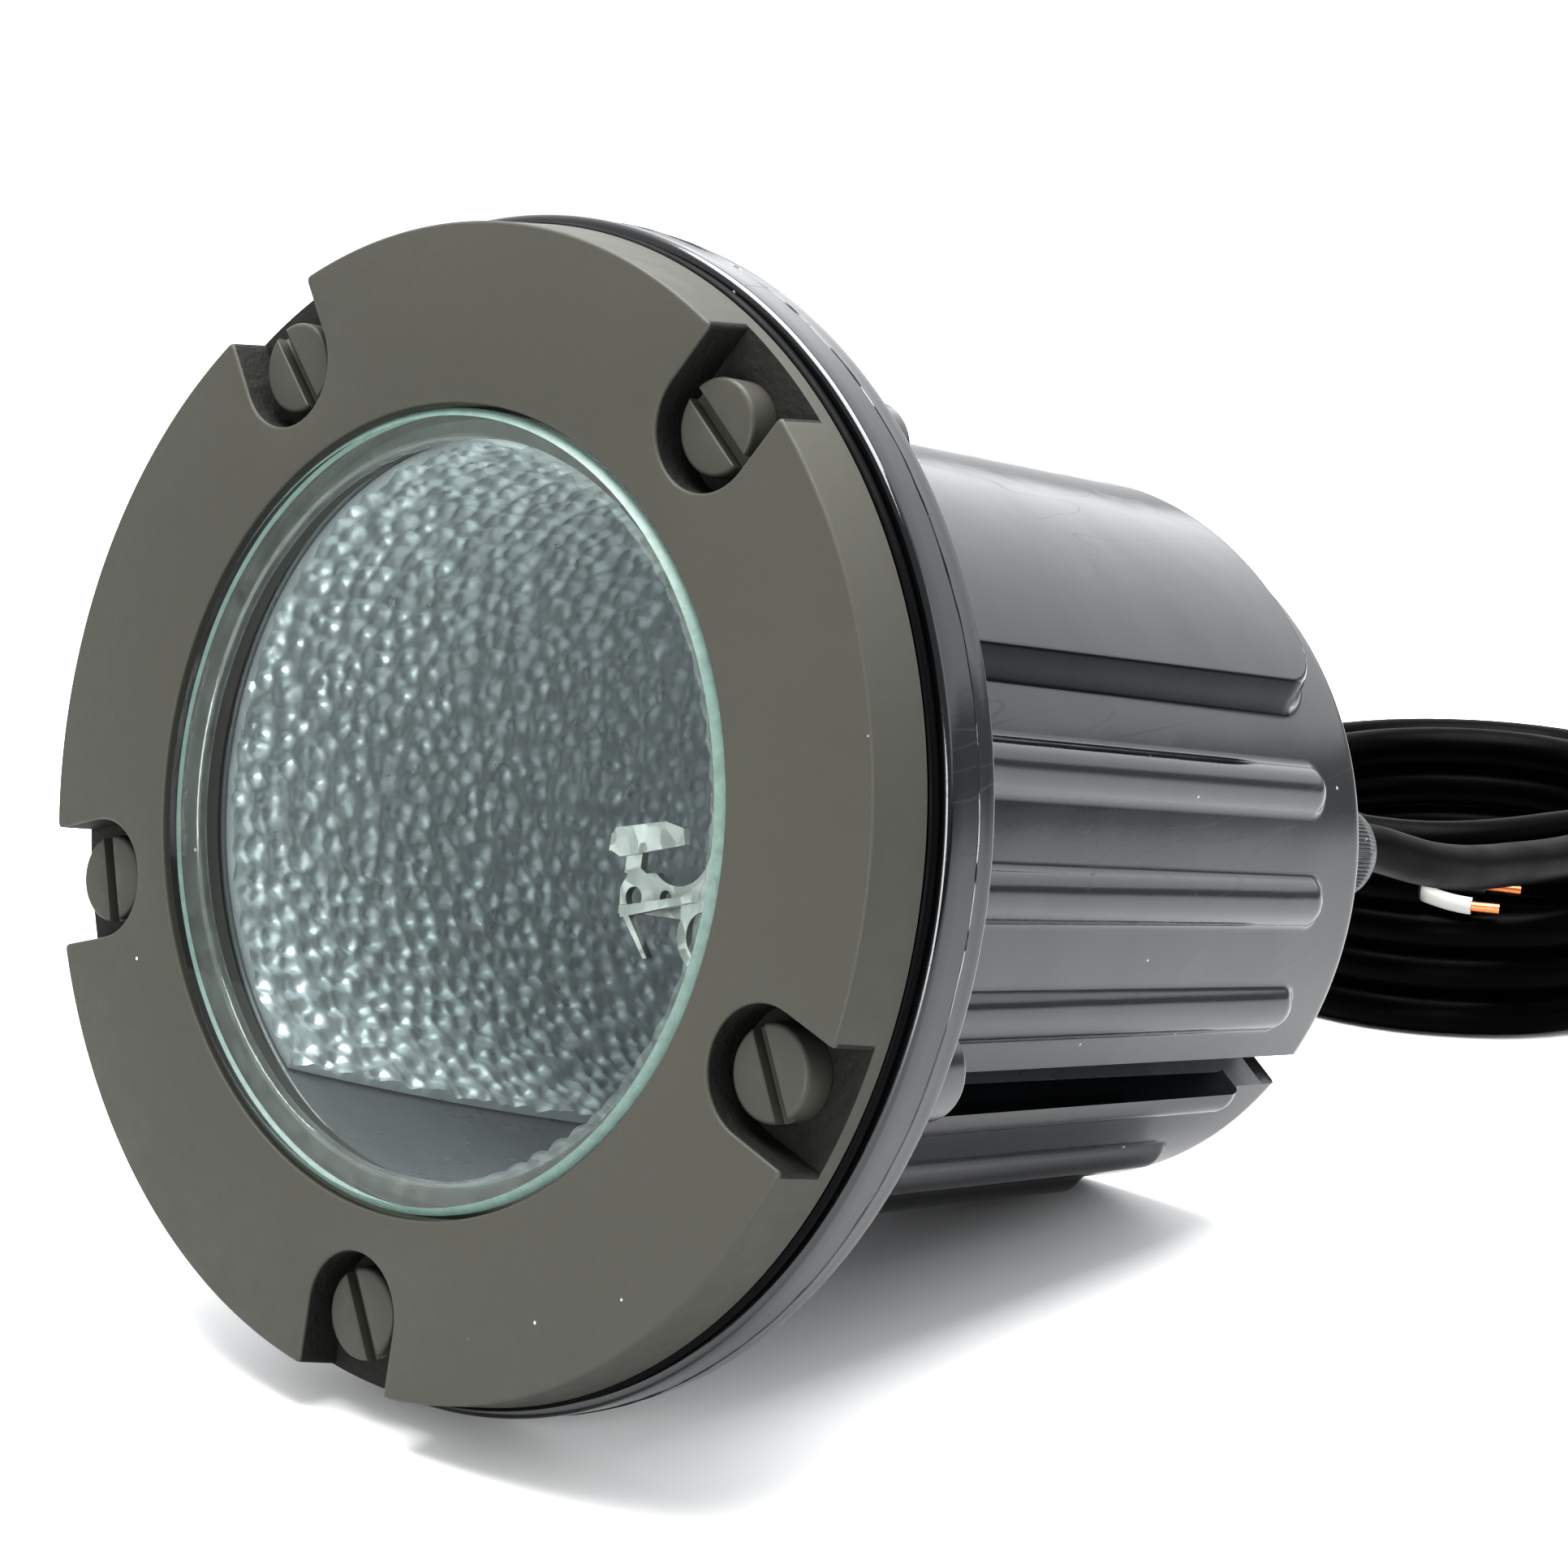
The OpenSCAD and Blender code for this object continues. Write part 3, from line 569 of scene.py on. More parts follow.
def build_ring():
    """The cast ring, with rounded front edges, five open pockets, screw holes and a stepped seat."""
    bm = bmesh.new()

    def loop(points):
        """Vertices at points of the light's own frame."""
        return [bm.verts.new(p) for p in to_world(points)]

    def level(plan, depth):
        """Vertices of one level of an outline."""
        return loop([(x, y, depth) for x, y in plan])

    def band(a, b, paint=PLAIN):
        """Faces between two closed loops; paint is their material, or a list with each one's."""
        for i, index in enumerate(np.broadcast_to(paint, len(a)).tolist()):
            n = (i + 1) % len(a)
            face = bm.faces.new((a[i], a[n], b[n], b[i]))
            face.material_index = index
            face.smooth = True

    def fill(loops, paint=PLAIN):
        """A flat area between loops."""
        edges = []
        for verts in loops:
            for pair in zip(verts, verts[1:] + verts[:1]):
                edges.append(bm.edges.get(pair) or bm.edges.new(pair))
        made = bmesh.ops.triangle_fill(bm, use_beauty=True, use_dissolve=False, edges=edges)
        for face in made["geom"]:
            if isinstance(face, bmesh.types.BMFace):
                face.material_index = paint
                face.smooth = False

    # Levels of the notched outline as (growth, depth), from the face's flat down to the pocket floor
    rounded = [(RING_EDGE * (1 - fast), RING_EDGE * slow) for fast, slow in quarter(first=0)]
    rings = []
    for grow, depth in rounded + [(0.0, 2.4), (0.0, 4.2), (0.0, POCKET_D)]:
        radius = ring_radius(depth) - grow
        path = pocket_path(radius, grow)
        plan = np.vstack([path[::-1], rim_arc(path, radius)])
        rings.append(level(np.vstack([turn_2d(plan, screw_angle(i)) for i in range(1, 6)]), depth))
    wall = len(path)
    fifth = len(plan)
    # Pocket walls below the rounded edge take the rough cast paint, darkened as painted shade
    notched = ([ROUGH_SHADED] * (wall - 1) + [PLAIN] * (fifth - wall + 1)) * 5
    for k, (a, b) in enumerate(zip(rings, rings[1:])):
        band(a, b, PLAIN if k < len(rounded) - 1 else notched)
    # Inner edge of the opening, down to the glass ledge and out to the back
    opening = [(OPENING_R + grow, depth) for grow, depth in rounded]
    opening += [(OPENING_R, SEAT_D), (LEDGE_R + LEDGE_EDGE, SEAT_D)]
    opening += [(LEDGE_R, SEAT_D + LEDGE_EDGE), (LEDGE_R, RING_T)]
    inner = [loop(polar(radius, around(OPENING_POINTS), depth)) for radius, depth in opening]
    for a, b in zip(inner, inner[1:]):
        band(a, b)
    fill([rings[0], inner[0]])
    # Floor of each pocket with its screw hole, and the rim below it; floor and hole take the darkened pocket
    # paint, painted shade
    bottom = ring_radius(POCKET_D)
    mouth = math.atan2(*pocket_path(bottom)[0][::-1])
    gap_plan = on_circle(bottom, np.linspace(-mouth, mouth, GAP_POINTS + 2)[1:-1])
    hole_angles = np.linspace(0, 2 * math.pi, HOLE_POINTS + 1)[:-1]
    hole_plan = np.array([SCREW_R, 0]) + on_circle(SCREW_HOLE_R, hole_angles)
    rim = []
    holes = []
    for i in range(5):
        turn = screw_angle(i + 1)
        walls = rings[-1][i * fifth:i * fifth + wall]
        arc = rings[-1][i * fifth + wall:(i + 1) * fifth]
        gap = level(turn_2d(gap_plan, turn), POCKET_D)
        hole = level(turn_2d(hole_plan, turn), POCKET_D)
        holes.append(level(turn_2d(hole_plan, turn), RING_T))
        band(hole, holes[-1], ROUGH_SHADED)
        fill([walls + gap[::-1], hole], ROUGH_SHADED)
        rim += [walls[0], *gap, walls[-1], *arc]
    base_plan = []
    for vertex in rim:
        x, y, _ = to_local(vertex.co)
        a = math.atan2(y, x)
        base_plan.append((BASE_R * math.cos(a), BASE_R * math.sin(a)))
    base = level(base_plan, RING_T - BACK_EDGE)
    back = level(np.array(base_plan) * (BASE_R - BACK_EDGE) / BASE_R, RING_T)
    band(rim, base)
    band(base, back)
    fill([back, inner[-1], *holes])
    bmesh.ops.remove_doubles(bm, verts=bm.verts, dist=WELD)
    bmesh.ops.recalc_face_normals(bm, faces=bm.faces)
    mesh = bpy.data.meshes.new("cast_ring")
    bm.to_mesh(mesh)
    bm.free()
    mesh.set_sharp_from_angle(angle=math.radians(35))
    return link_piece("cast_ring", mesh, [ring_paint, shaded_pocket_paint])


ring = build_ring()
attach(ring, "face")
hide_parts("face_ring")

# ----------------------------------------------------------------- screws

SLOT_W, SLOT_DEPTH = 1.7, 1.7
SLOT_ANGLES = [-39, -45, -70, -58, -60]
HEAD_EDGE, CREST_R, ROOT_R, PITCH = 0.55, 2.4, 2.05, 0.8
THREAD_END, SCREW_END = 23.6, 25.0


def screw_profile():
    """(radius, depth) from the middle of the head round its edge and down the threaded shank."""
    profile = [(AXIS_R, HEAD_TOP - 0.06), (CREST_R, HEAD_TOP - 0.03), (HEAD_R - HEAD_EDGE, HEAD_TOP)]
    profile += [(HEAD_R - HEAD_EDGE * (1 - fast), HEAD_TOP + HEAD_EDGE * slow) for fast, slow in quarter()]
    profile += [(HEAD_R, POCKET_D - 0.1), (HEAD_R - 0.1, POCKET_D), (CREST_R, POCKET_D)]
    depth = POCKET_D + 0.5
    while depth < THREAD_END:
        profile += [(ROOT_R, depth), (CREST_R, depth + PITCH / 2)]
        depth += PITCH
    return profile + [(2.0, SCREW_END - 0.6), (1.6, SCREW_END), (AXIS_R, SCREW_END)]


def make_slot_cutter(place, turn):
    """A bar across a screw's head in the shape of its slot, with softened lips."""
    half, deep = SLOT_W / 2, HEAD_TOP + SLOT_DEPTH
    section = [(half + 0.5, HEAD_TOP - 1), (half + 0.5, HEAD_TOP - 0.2), (half + 0.14, HEAD_TOP - 0.02),
               (half, HEAD_TOP + 0.14), (half, deep - 0.2), (half - 0.2, deep)]
    section += [(-x, d) for x, d in section[::-1]]
    points = []
    for x in (-HEAD_R - 2, HEAD_R + 2):
        plan = turn_2d([(x, y) for y, _ in section], turn) + place
        points += [(px, py, d) for (px, py), (_, d) in zip(plan, section)]
    count = len(section)
    faces = grid_faces(2, count)
    faces += [list(range(count)), list(range(count, 2 * count))]
    return make_piece("slot_cutter", points, faces, [screw_paint])


def bake_modifiers(piece):
    """Replaces a piece's mesh with what its modifiers make of it."""
    bpy.context.view_layer.update()
    graph = bpy.context.evaluated_depsgraph_get()
    mesh = bpy.data.meshes.new_from_object(piece.evaluated_get(graph))
    piece.modifiers.clear()
    piece.data = mesh


def build_screw(number):
    """A cheese-head screw with a rounded head edge, a sawn slot and a threaded shank."""
    steps = 96
    place = screw_place(number)
    points, faces = revolved(screw_profile(), steps, place, closed=False)
    faces.append(list(range(steps)))
    faces.append(list(range(len(points) - steps, len(points))))
    piece = make_piece(f"slotted_screw_{number}", points, faces, [screw_paint])
    cutter = make_slot_cutter(place, SLOT_ANGLES[number - 1])
    cut = piece.modifiers.new("slot", "BOOLEAN")
    cut.operation, cut.object, cut.solver = "DIFFERENCE", cutter, "EXACT"
    bake_modifiers(piece)
    bpy.data.objects.remove(cutter)
    finish_mesh(piece.data, 32)
    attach(piece, f"screw_{number}")
    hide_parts(f"screw_{number}")


for screw_number in range(1, 6):
    build_screw(screw_number)

# ------------------------------------------------------- glass and silicone


def build_glass():
    """Thick glass disc with a ground edge."""
    profile = [(AXIS_R, 0.0), (GLASS_R - GLASS_CHAMFER, 0.0), (GLASS_R, GLASS_CHAMFER)]
    profile += [(GLASS_R, GLASS_T - 0.5), (GLASS_R - 0.5, GLASS_T), (AXIS_R, GLASS_T)]
    points, faces = revolved(profile, closed=False)
    piece = make_piece("lens_disc", points, faces, [lens_glass, lens_edge], 20)
    for face in piece.data.polygons:
        nearest = min(np.hypot(*to_local(piece.data.vertices[v].co)[:2]) for v in face.vertices)
        ground = GLASS_R - GLASS_CHAMFER - 0.05 < nearest < GLASS_R - 0.2
        face.material_index = 1 if ground else 0
    return piece


lens = build_glass()
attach(lens, "face")
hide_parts("lens_glass")

BEAD_TOP, BEAD_T, BEAD_STEPS = GLASS_T + 0.05, 1.7, 8


def build_silicone():
    """The squeezed-out bead behind the glass, with scallops where it was pressed by hand."""
    angles = around(720)
    side = smoothstep((np.cos(np.radians(angles - 20)) + 0.35) / 0.8)
    scallop = np.abs(wave(3, angles, [29, 37, 43])) * 0.75 * side
    drift = 0.22 * wave(5, angles, [3, 5, 8]) + 0.12 * wave(9, angles, [13, 19])
    inner = LEDGE_R - 0.75 - scallop - 0.3 * drift
    rows = []
    for k in range(BEAD_STEPS + 1):
        a = math.pi * k / BEAD_STEPS
        radius = LEDGE_R - (LEDGE_R - inner) * math.sin(a) ** 0.8
        rows.append(polar(radius, angles, BEAD_TOP + BEAD_T * (1 - math.cos(a)) / 2))
    rows.append(polar(LEDGE_R - 0.02, angles, GLASS_T + BEAD_T))
    rows.append(polar(GLASS_R - 0.2, angles, SEAT_D - 0.05))
    rows.append(polar(GLASS_R - 0.2, angles, BEAD_TOP))
    rows.append(rows[0])
    return make_skin("silicone_bead", rows, [silicone], 60)


bead = build_silicone()
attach(bead, "face")
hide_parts("lens_seal")

# ---------------------------------------------------------------- gasket

GASKET_IN_R, GASKET_OUT_R, GASKET_EDGE, GASKET_STEPS = 43.4, 66.25, 0.5, 6


def build_gasket():
    """Rubber ring squeezed slightly out between the casting and the flange."""
    angles = around(512)
    bulge = GASKET_OUT_R + 0.12 * wave(11, angles, [2, 3, 7, 12])
    shoulder = bulge - GASKET_EDGE
    top, bottom = RING_T + 0.02, FLANGE_FRONT - 0.02
    rows = [polar(GASKET_IN_R, angles, top), polar(shoulder, angles, top)]
    for k in range(GASKET_STEPS + 1):
        a = math.pi * k / GASKET_STEPS
        rows.append(polar(shoulder + GASKET_EDGE * math.sin(a), angles, RING_T + 0.75 - 0.7 * math.cos(a)))
    rows += [polar(shoulder, angles, bottom), polar(GASKET_IN_R, angles, bottom), rows[0]]
    return make_skin("rubber_gasket", rows, [gasket_rubber])


gasket = build_gasket()
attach(gasket, "housing_assembly")
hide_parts("flange_gasket")

# --------------------------------------------------------------- housing

RIB_R, RIB_STEP = 3.6, 18
RIB_ANGLES = [RIB_STEP * i for i in range(-11, 2)]
RIB_TIP_FRONT, RIB_TIP_BACK, RIB_BALL = 49.4, 46.4, 108.4
CUP_FRONT_R, CUP_BACK_R = 47.0, 44.4
PAD_FRONT_R, PAD_BACK_R, PAD_END, PAD_EDGE = 49.9, 48.3, 110.0, 34.0
PAD_CORNER, PAD_SLOPE, PAD_SUNK = 5.5, 3.2, 0.25
GROOVE_FROM, GROOVE_TO, GROOVE_R, GROOVE_SOFT = -34.0, -27.5, 38.6, 0.28
# The pad's flank, in degrees outside the pad's edge, where a darker copy of the plastic is a painted dark
# reflection
FLANK_MIDDLE, FLANK_HALF = 2.1, 1.9
CAVITY_FRONT_R, CAVITY_BACK_R, MOUTH_R = 42.6, 41.2, 42.9
FRONT_EDGE, REAR_EDGE, REAR_INSET, FILLET, END_EDGE = 0.7, 0.6, 0.16, 0.9, 0.9
# The mould's parting line on the flange's rim, as (shift along the axis, height)
PARTING = [(-0.22, 0.0), (-0.08, 0.0), (-0.02, 0.09), (0.06, 0.09), (0.12, -0.12), (0.3, -0.14)]


def angle_from(angles, middle):
    """Signed difference in degrees, between -180 and 180."""
    return (angles - middle + 180) % 360 - 180


def angles_in(angles, low, high):
    """Degrees inside a range; negative outside it."""
    middle, half = (low + high) / 2, (high - low) / 2
    return half - np.abs(angle_from(angles, middle))


def cup_radius(angles, depth):
    """Outer radius of the cup with its ribs, pad and groove."""
    base = CUP_FRONT_R + (CUP_BACK_R - CUP_FRONT_R) * (depth - FLANGE_BACK) / (HOUSING_L - FLANGE_BACK)
    radius = np.full_like(angles, base)
    slope = (depth - FLANGE_FRONT) / (RIB_BALL - FLANGE_FRONT)
    centre = RIB_TIP_FRONT + (RIB_TIP_BACK - RIB_TIP_FRONT) * min(slope, 1.0) - RIB_R
    ball = RIB_R ** 2 - max(depth - RIB_BALL, 0.0) ** 2
    for rib in RIB_ANGLES:
        off = np.radians(angle_from(angles, rib))
        inside = ball - (centre * np.sin(off)) ** 2
        hit = (inside > 0) & (np.abs(off) < 0.2)
        top = np.where(hit, centre * np.cos(off) + np.sqrt(np.maximum(inside, 0)), 0)
        radius = smooth_max(radius, top, 0.35)
    # The pad: an inside distance to its rounded outline sets how far up its slope a point is
    level = PAD_FRONT_R + (PAD_BACK_R - PAD_FRONT_R) * (depth - FLANGE_FRONT) / (PAD_END - FLANGE_FRONT)
    from_side = (90 - PAD_EDGE - np.abs(angle_from(angles, 90))) * math.pi / 180 * base
    from_end = PAD_END - depth
    near_both = (from_side < PAD_CORNER) & (from_end < PAD_CORNER)
    from_corner = np.hypot(np.maximum(PAD_CORNER - from_side, 0), max(PAD_CORNER - from_end, 0))
    inside = np.where(near_both, PAD_CORNER - from_corner, np.minimum(from_side, from_end))
    rise = np.clip(inside / PAD_SLOPE + 1, 0, 1)
    eased = rise - 0.06 * np.sin(2 * math.pi * rise)
    foot = base - PAD_SUNK
    radius = smooth_max(radius, np.where(rise > 0, foot + (level - foot) * eased, 0), 0.5)
    # The deep groove low on the right
    cut = smoothstep(angles_in(angles, GROOVE_FROM, GROOVE_TO) / GROOVE_SOFT)
    return radius + (GROOVE_R - radius) * cut


def cavity_radius(angles, depth):
    """Inner radius of the cup, which gives way to the groove."""
    share = (depth - FLANGE_FRONT) / (FLOOR_TOP - FLANGE_FRONT)
    base = CAVITY_FRONT_R + (CAVITY_BACK_R - CAVITY_FRONT_R) * share
    if depth <= FLANGE_BACK:
        return np.full_like(angles, base)
    bulge = smoothstep(angles_in(angles, GROOVE_FROM - 3.4, GROOVE_TO + 3.4) / 0.5)
    return base + (GROOVE_R - 2.4 - base) * bulge


def cup_angles():
    """Columns of the cup: even, with more of them beside the walls of the groove."""
    even = np.arange(0, 360, 0.5)
    extra = [wall + shift for wall in (GROOVE_FROM, GROOVE_TO) for shift in (-0.14, 0.0, 0.14, 0.28, 0.42)]
    return np.unique(np.round(np.concatenate([even, np.array(extra) % 360]), 3))


def build_housing():
    """Flange, ribbed cup, closed end and cavity as one closed skin."""
    angles = cup_angles()
    rows = []

    def row(radius, depth):
        rows.append(polar(radius, angles, depth))

    # Inside: from the closed end forward to the mouth
    for radius in (AXIS_R, 12, 24, 33):
        row(radius, FLOOR_TOP)
    row(cavity_radius(angles, FLOOR_TOP) - 2.0, FLOOR_TOP)
    for depth in (115.5, 100, 80, 60, 40, 24, 18.5, 17.2, 16.8, 13, FLANGE_FRONT + 0.3):
        row(cavity_radius(angles, depth), depth)
    row(MOUTH_R, FLANGE_FRONT)
    # Flange, with the mould's parting line on its rim
    for radius in (50, 58, FLANGE_R - FRONT_EDGE):
        row(radius, FLANGE_FRONT)
    for fast, slow in quarter():
        row(FLANGE_R - FRONT_EDGE + FRONT_EDGE * fast, FLANGE_FRONT + FRONT_EDGE * slow)
    part = 13.9 + 0.12 * wave(21, angles, [3, 5, 9, 17]) + 0.05 * wave(22, angles, [41, 63])
    ragged = 0.03 * wave(23, angles, [31, 47, 71, 103])
    row(FLANGE_R, 11.5)
    for shift, lift in PARTING:
        row(FLANGE_R + lift + (ragged if lift > 0 else 0), part + shift)
    row(FLANGE_R - REAR_INSET, 15.6)
    for fast, slow in quarter(first=0):
        row(FLANGE_R - REAR_INSET - REAR_EDGE * slow, FLANGE_BACK - REAR_EDGE + REAR_EDGE * fast)
    row(60, FLANGE_BACK)
    row(54, FLANGE_BACK)
    # Fillet into the cup
    start = cup_radius(angles, FLANGE_BACK)
    for fast, slow in quarter(first=0):
        row(start + FILLET * (1 - fast), FLANGE_BACK + FILLET * slow)
    depths = [19, 24, 32, 44, 58, 72, 84, 94, 99, 102]
    depths += list(np.arange(103, 114.6, 0.35)) + [115.5, 117, 118.2, 118.8]
    for depth in depths:
        row(cup_radius(angles, depth), depth)
    # Rounded closed end
    tail = cup_radius(angles, HOUSING_L - END_EDGE)
    for fast, slow in quarter():
        row(tail - END_EDGE * slow, HOUSING_L - END_EDGE + END_EDGE * fast)
    row(tail - 3, HOUSING_L)
    for radius in (30, 18, 8, AXIS_R):
        row(radius, HOUSING_L)
    piece = make_skin("moulded_housing", rows, [housing_plastic, lit_cavity_plastic, shaded_flank_plastic], 50)
    for face in piece.data.polygons:
        x, y, depth = to_local(face.center)
        radius, angle = math.hypot(x, y), math.degrees(math.atan2(y, x))
        # The pad's flank takes the darker copy of the plastic, a painted dark reflection
        past_pad = abs(angle_from(angle, 90)) - (90 - PAD_EDGE)
        on_flank = abs(past_pad - FLANK_MIDDLE) < FLANK_HALF
        if on_flank and FLANGE_BACK < depth < PAD_END - 3 and radius > CUP_BACK_R:
            face.material_index = 2
        # The cup's inside takes the lighter copy of the plastic, painted light
        if radius < CUP_BACK_R - 1 and FLANGE_FRONT < depth < FLOOR_TOP + 0.1:
            face.material_index = 1
    return piece


housing = build_housing()
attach(housing, "housing_assembly")
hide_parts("housing")

BOSS_R, BOSS_FROM, BOSS_TO, BOSS_EDGE, BOSS_TAPER = 6.0, 16.0, 27.0, 0.7, 0.4
POST_PLACES = [(26, -16), (26, 16)]
POST_PROFILE = [(1.3, 69.0), (3.6, 69.0), (3.8, 117.5), (1.3, 117.5)]


def build_bosses():
    """Screw bosses behind the flange and the bracket's posts in the cavity."""
    end_r, shoulder = BOSS_R - BOSS_TAPER, BOSS_TO - BOSS_EDGE
    boss = [(AXIS_R, BOSS_FROM), (BOSS_R, BOSS_FROM), (BOSS_R - 0.1, 20), (end_r, shoulder)]
    boss += [(end_r - BOSS_EDGE * slow, shoulder + BOSS_EDGE * fast) for fast, slow in quarter()]
    boss.append((AXIS_R, BOSS_TO))
    shapes = [revolved(boss, 72, screw_place(number)) for number in range(1, 6)]
    shapes += [revolved(POST_PROFILE, 48, place) for place in POST_PLACES]
    points, faces = [], []
    for made, quads in shapes:
        faces += [[v + len(points) for v in quad] for quad in quads]
        points += made.tolist()
    return make_piece("screw_bosses", points, faces, [housing_plastic], 40)


bosses = build_bosses()
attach(bosses, "housing_assembly")

# ------------------------------------------------------------- reflector

REFLECTOR_FROM, REFLECTOR_TO = 70.0, 270.0
# The lower edge: its angle at one depth, that depth in millimetres, and its slope in degrees
EDGE_ANGLE, EDGE_MIDDLE, EDGE_SLOPE = 250.0, 45, 17.5
REFLECTOR_FRONT, REFLECTOR_BACK, SHEET_R, SHEET_T = 9.5, 112, 42.3, 0.8
REFLECTOR_ROWS, REFLECTOR_COLS = 307, 430
DIMPLE, FINE_DIMPLE = 2.9, 1.25


def hammer(along, across, seed, cell):
    """Height from 0 in the middle of a dimple to 1 on the ridges, for points on the flat sheet in mm."""
    rng = np.random.default_rng(seed)
    nx, ny = 90, 60
    jitter = rng.uniform(-0.42, 0.42, (nx, ny, 2))
    size = rng.uniform(0.8, 1.15, (nx, ny))
    gx, gy = along / cell, across / cell
    cx, cy = np.floor(gx).astype(int), np.floor(gy).astype(int)
    best = np.full(along.shape, 9.0)
    for i in (-1, 0, 1):
        for k in (-1, 0, 1):
            ix, iy = (cx + i) % nx, (cy + k) % ny
            px = cx + i + 0.5 + jitter[ix, iy, 0]
            py = cy + k + 0.5 + jitter[ix, iy, 1]
            distance = np.hypot(gx - px, gy - py) / size[ix, iy]
            best = np.minimum(best, distance)
    return smoothstep(best / 0.72)


def build_reflector():
    """Hammered sheet lining the left wall, its lower edge cut at a slope."""
    depths = np.linspace(REFLECTOR_FRONT, REFLECTOR_BACK, REFLECTOR_ROWS)
    depth, share = np.meshgrid(depths, np.linspace(0, 1, REFLECTOR_COLS), indexing="ij")
    taper = (CAVITY_FRONT_R - CAVITY_BACK_R) / (FLOOR_TOP - FLANGE_FRONT)
    radius = SHEET_R - taper * (depth - FLANGE_FRONT)
    lean = math.tan(math.radians(EDGE_SLOPE)) * (depth - EDGE_MIDDLE) / radius
    last = np.minimum(EDGE_ANGLE + np.degrees(np.arcsin(np.clip(lean, -1, 1))), REFLECTOR_TO)
    angle = REFLECTOR_FROM + share * (last - REFLECTOR_FROM)
    along = np.radians(angle) * 42
    dimples = hammer(along, depth, 7, DIMPLE)
    fine = hammer(along + 0.4 * depth, depth - 0.2 * along, 8, FINE_DIMPLE)
    relief = 0.80 * dimples + 0.16 * fine
    inner = polar(radius - SHEET_T + 0.25 - relief, angle, depth)
    outer = polar(radius, angle, depth)
    rows, cols = depth.shape
    count = rows * cols
    points = np.concatenate([inner.reshape(-1, 3), outer.reshape(-1, 3)])
    faces = grid_faces(rows, cols, False) + grid_faces(rows, cols, False, count)
    index = np.arange(count).reshape(rows, cols)
    border = np.concatenate([index[0], index[1:, -1], index[-1, -2::-1], index[-2:0:-1, 0]]).tolist()
    faces += [[a, b, b + count, a + count] for a, b in zip(border, border[1:] + border[:1])]
    return make_piece("hammered_reflector", points, faces, [hammered], 60)


reflector = build_reflector()
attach(reflector, "housing_assembly")
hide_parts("reflector")

# ------------------------------------------------------------- gland nut

NUT_R, NUT_BORE_R, NUT_FROM, NUT_TO = 6.6, 5.5, 124.85, 136.0
KNURLS, KNURL_STEPS, KNURL_D = 72, 6, 0.28
LEAD_HOLE_R = LEAD_D / 2 + 0.25
gland = to_local(joints["gland_nut_turn"]["pos_m"])[:2]


def build_gland_nut():
    """Round nut with fine straight knurls and a bevelled, rounded end."""
    steps = KNURLS * KNURL_STEPS
    tooth = 0.5 - 0.5 * np.cos(2 * math.pi * np.arange(steps) / KNURL_STEPS)
    cut = smoothstep(tooth * 1.4) * KNURL_D
    profile = [
        (NUT_BORE_R, NUT_FROM), (NUT_R - 0.35, NUT_FROM), (NUT_R - cut * 0.4 - 0.1, 125.1),
        (NUT_R - cut, 125.3), (NUT_R - cut, 132.6), (NUT_R - cut * 0.8 - 0.06, 133.0),
        (NUT_R - 0.35 - cut * 0.2, 133.4),
    ]
    profile += [(NUT_R - 0.4 - 1.75 * slow, 133.5 + 2.4 * fast) for fast, slow in quarter(6)]
    profile += [
        (LEAD_HOLE_R + 0.1, NUT_TO - 0.05), (LEAD_HOLE_R, NUT_TO - 0.6),
        (LEAD_HOLE_R, 131), (NUT_BORE_R, 130.9),
    ]
    points, faces = revolved(profile, steps, gland)
    return make_piece("knurled_gland_nut", points, faces, [gland_plastic], 45)


nut = build_gland_nut()
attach(nut, "gland_nut")
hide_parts("gland_nut")

# ----------------------------------------- finishes of the CAD's own nodes

FINISHES = {
    "threaded_inserts": brass,
    "reflector_screws": plated,
    "lamp_bracket": galvanised,
    "bracket_screws": plated,
    "lamp_socket": ceramic,
    "socket_contacts": brass,
    "socket_lead_black": black_insulation,
    "socket_lead_white": white_insulation,
    "wire_connectors": connector_nylon,
    "inner_cable": cable_jacket,
    "gland_body": gland_plastic,
    "gland_washer": seal_rubber,
    "gland_seal": seal_rubber,
    "gland_locknut": gland_plastic,
    "screw_seals": seal_rubber,
    "lamp_envelope": lamp_glass,
    "lamp_filament": tungsten,
    "lamp_pins": plated,
}
for node_name, finish in FINISHES.items():
    node = frame["nodes"][node_name]
    node.data.materials.clear()
    node.data.materials.append(finish)

# ------------------------------------------------- floor, light and world

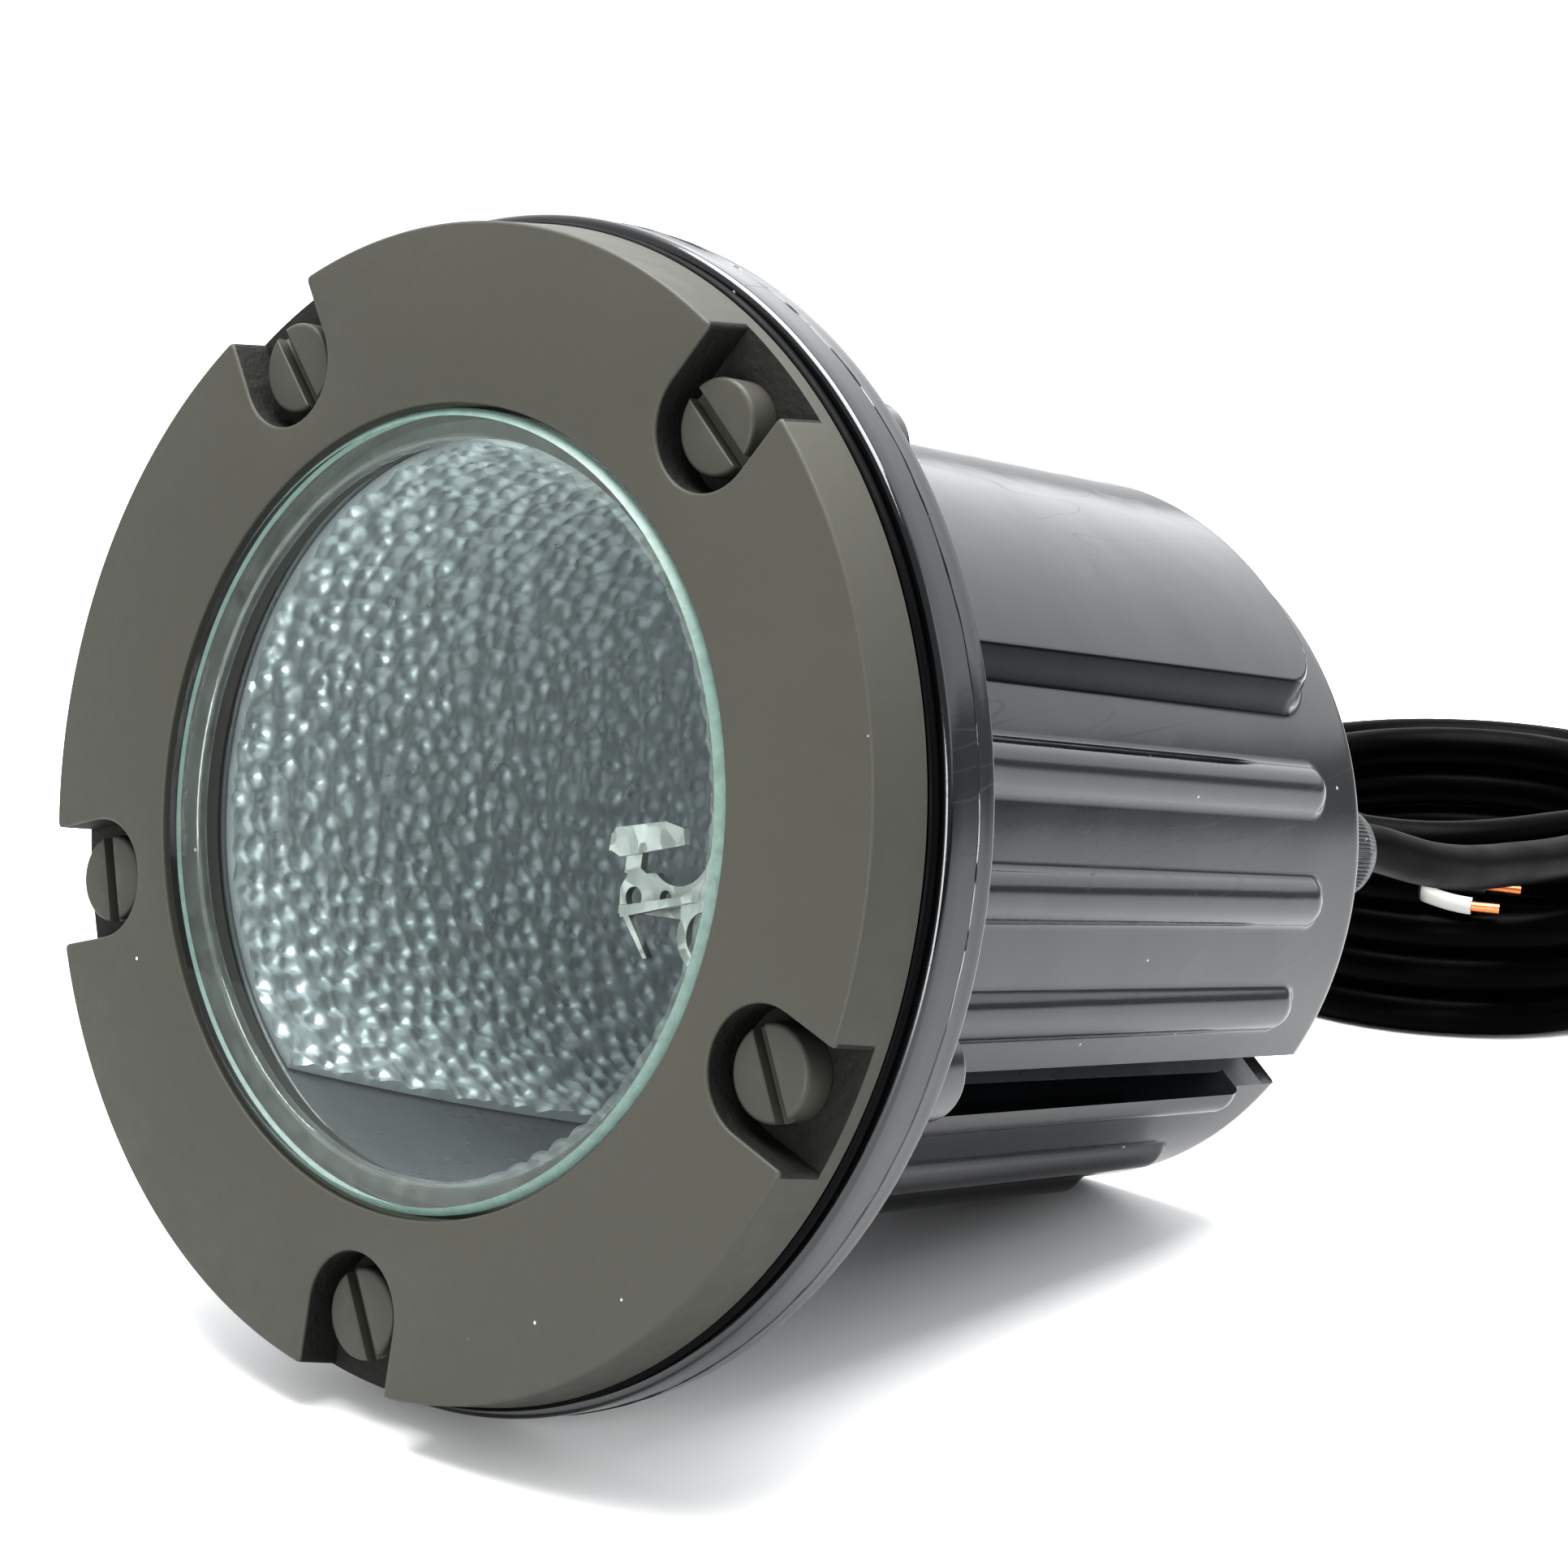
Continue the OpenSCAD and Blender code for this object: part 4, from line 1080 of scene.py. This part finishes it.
FLOOR_HALF = 6.0
floor_corners = [(x * FLOOR_HALF, y * FLOOR_HALF, 0) for x, y in ((-1, -1), (1, -1), (1, 1), (-1, 1))]
floor_mesh = bpy.data.meshes.new("floor")
floor_mesh.from_pydata(floor_corners, [], [(0, 1, 2, 3)])
floor_nodes = Surface("floor_white")
floor_tone = floor_nodes.mix(floor_nodes.noise(3, 3), rgb(0.64, 0.645, 0.65), rgb(0.67, 0.67, 0.67))
floor_white = floor_nodes.finish(Base_Color=floor_tone, Roughness=0.55, Specular_IOR_Level=0.2)
floor = link_piece("floor", floor_mesh, [floor_white])

# The studio: dimmer towards DARK_SIDE, and plain white to the camera itself
DARK_SIDE = Vector((0.6, -0.8, 0.0)).normalized()
BAND_HEIGHT = 0.03
world = bpy.data.worlds.new("studio")
world.use_nodes = True
scene.world = world
sky = Nodes(world.node_tree)
direction = sky.add("ShaderNodeTexCoord").outputs["Generated"]
sideways = sky.add("ShaderNodeVectorMath", {0: direction, 1: DARK_SIDE}, operation="DOT_PRODUCT")
fade = sky.ramp(sideways.outputs["Value"], -0.25, 0.45, 1.9, 0.75, interpolation_type="SMOOTHSTEP")
# A darker band a little above the horizon, as a studio has past the edge of its table
height = sky.add("ShaderNodeSeparateXYZ", {0: direction}).outputs["Z"]
from_band = sky.math("ABSOLUTE", sky.math("SUBTRACT", height, BAND_HEIGHT))
band = sky.ramp(from_band, 0.09, 0.20, 0.38, 1.0, interpolation_type="SMOOTHSTEP")
studio = sky.tree.nodes["Background"]
sky.set(studio.inputs["Strength"], sky.math("MULTIPLY", fade, band))
sky.set(studio.inputs["Color"], rgb(0.97, 0.985, 1.0))
backdrop = sky.add("ShaderNodeBackground", {"Color": rgb(1, 1, 1), "Strength": 1.05})
seen = sky.add("ShaderNodeLightPath").outputs["Is Camera Ray"]
shown = sky.blend(seen, studio.outputs[0], backdrop.outputs[0])
sky.set(sky.tree.nodes["World Output"].inputs["Surface"], shown)


def softbox(name, place, aim, size, watts):
    """A square white area light at place that faces aim."""
    light = bpy.data.lights.new(name, "AREA")
    light.shape, light.size, light.energy = "SQUARE", size, watts
    source = bpy.data.objects.new(name, light)
    source.location = place
    source.rotation_euler = (Vector(aim) - Vector(place)).to_track_quat("-Z", "Y").to_euler()
    scene.collection.objects.link(source)


softbox("top_light", (0.0, 0.0, 0.9), (0, 0, 0), 0.8, 24.0)
softbox("right_light", (0.75, 0.30, 0.45), (0, 0, 0.06), 0.5, 1.0)
softbox("key_light", (0.34, -0.90, 0.20), (0, -0.05, 0.06), 0.5, 9.0)
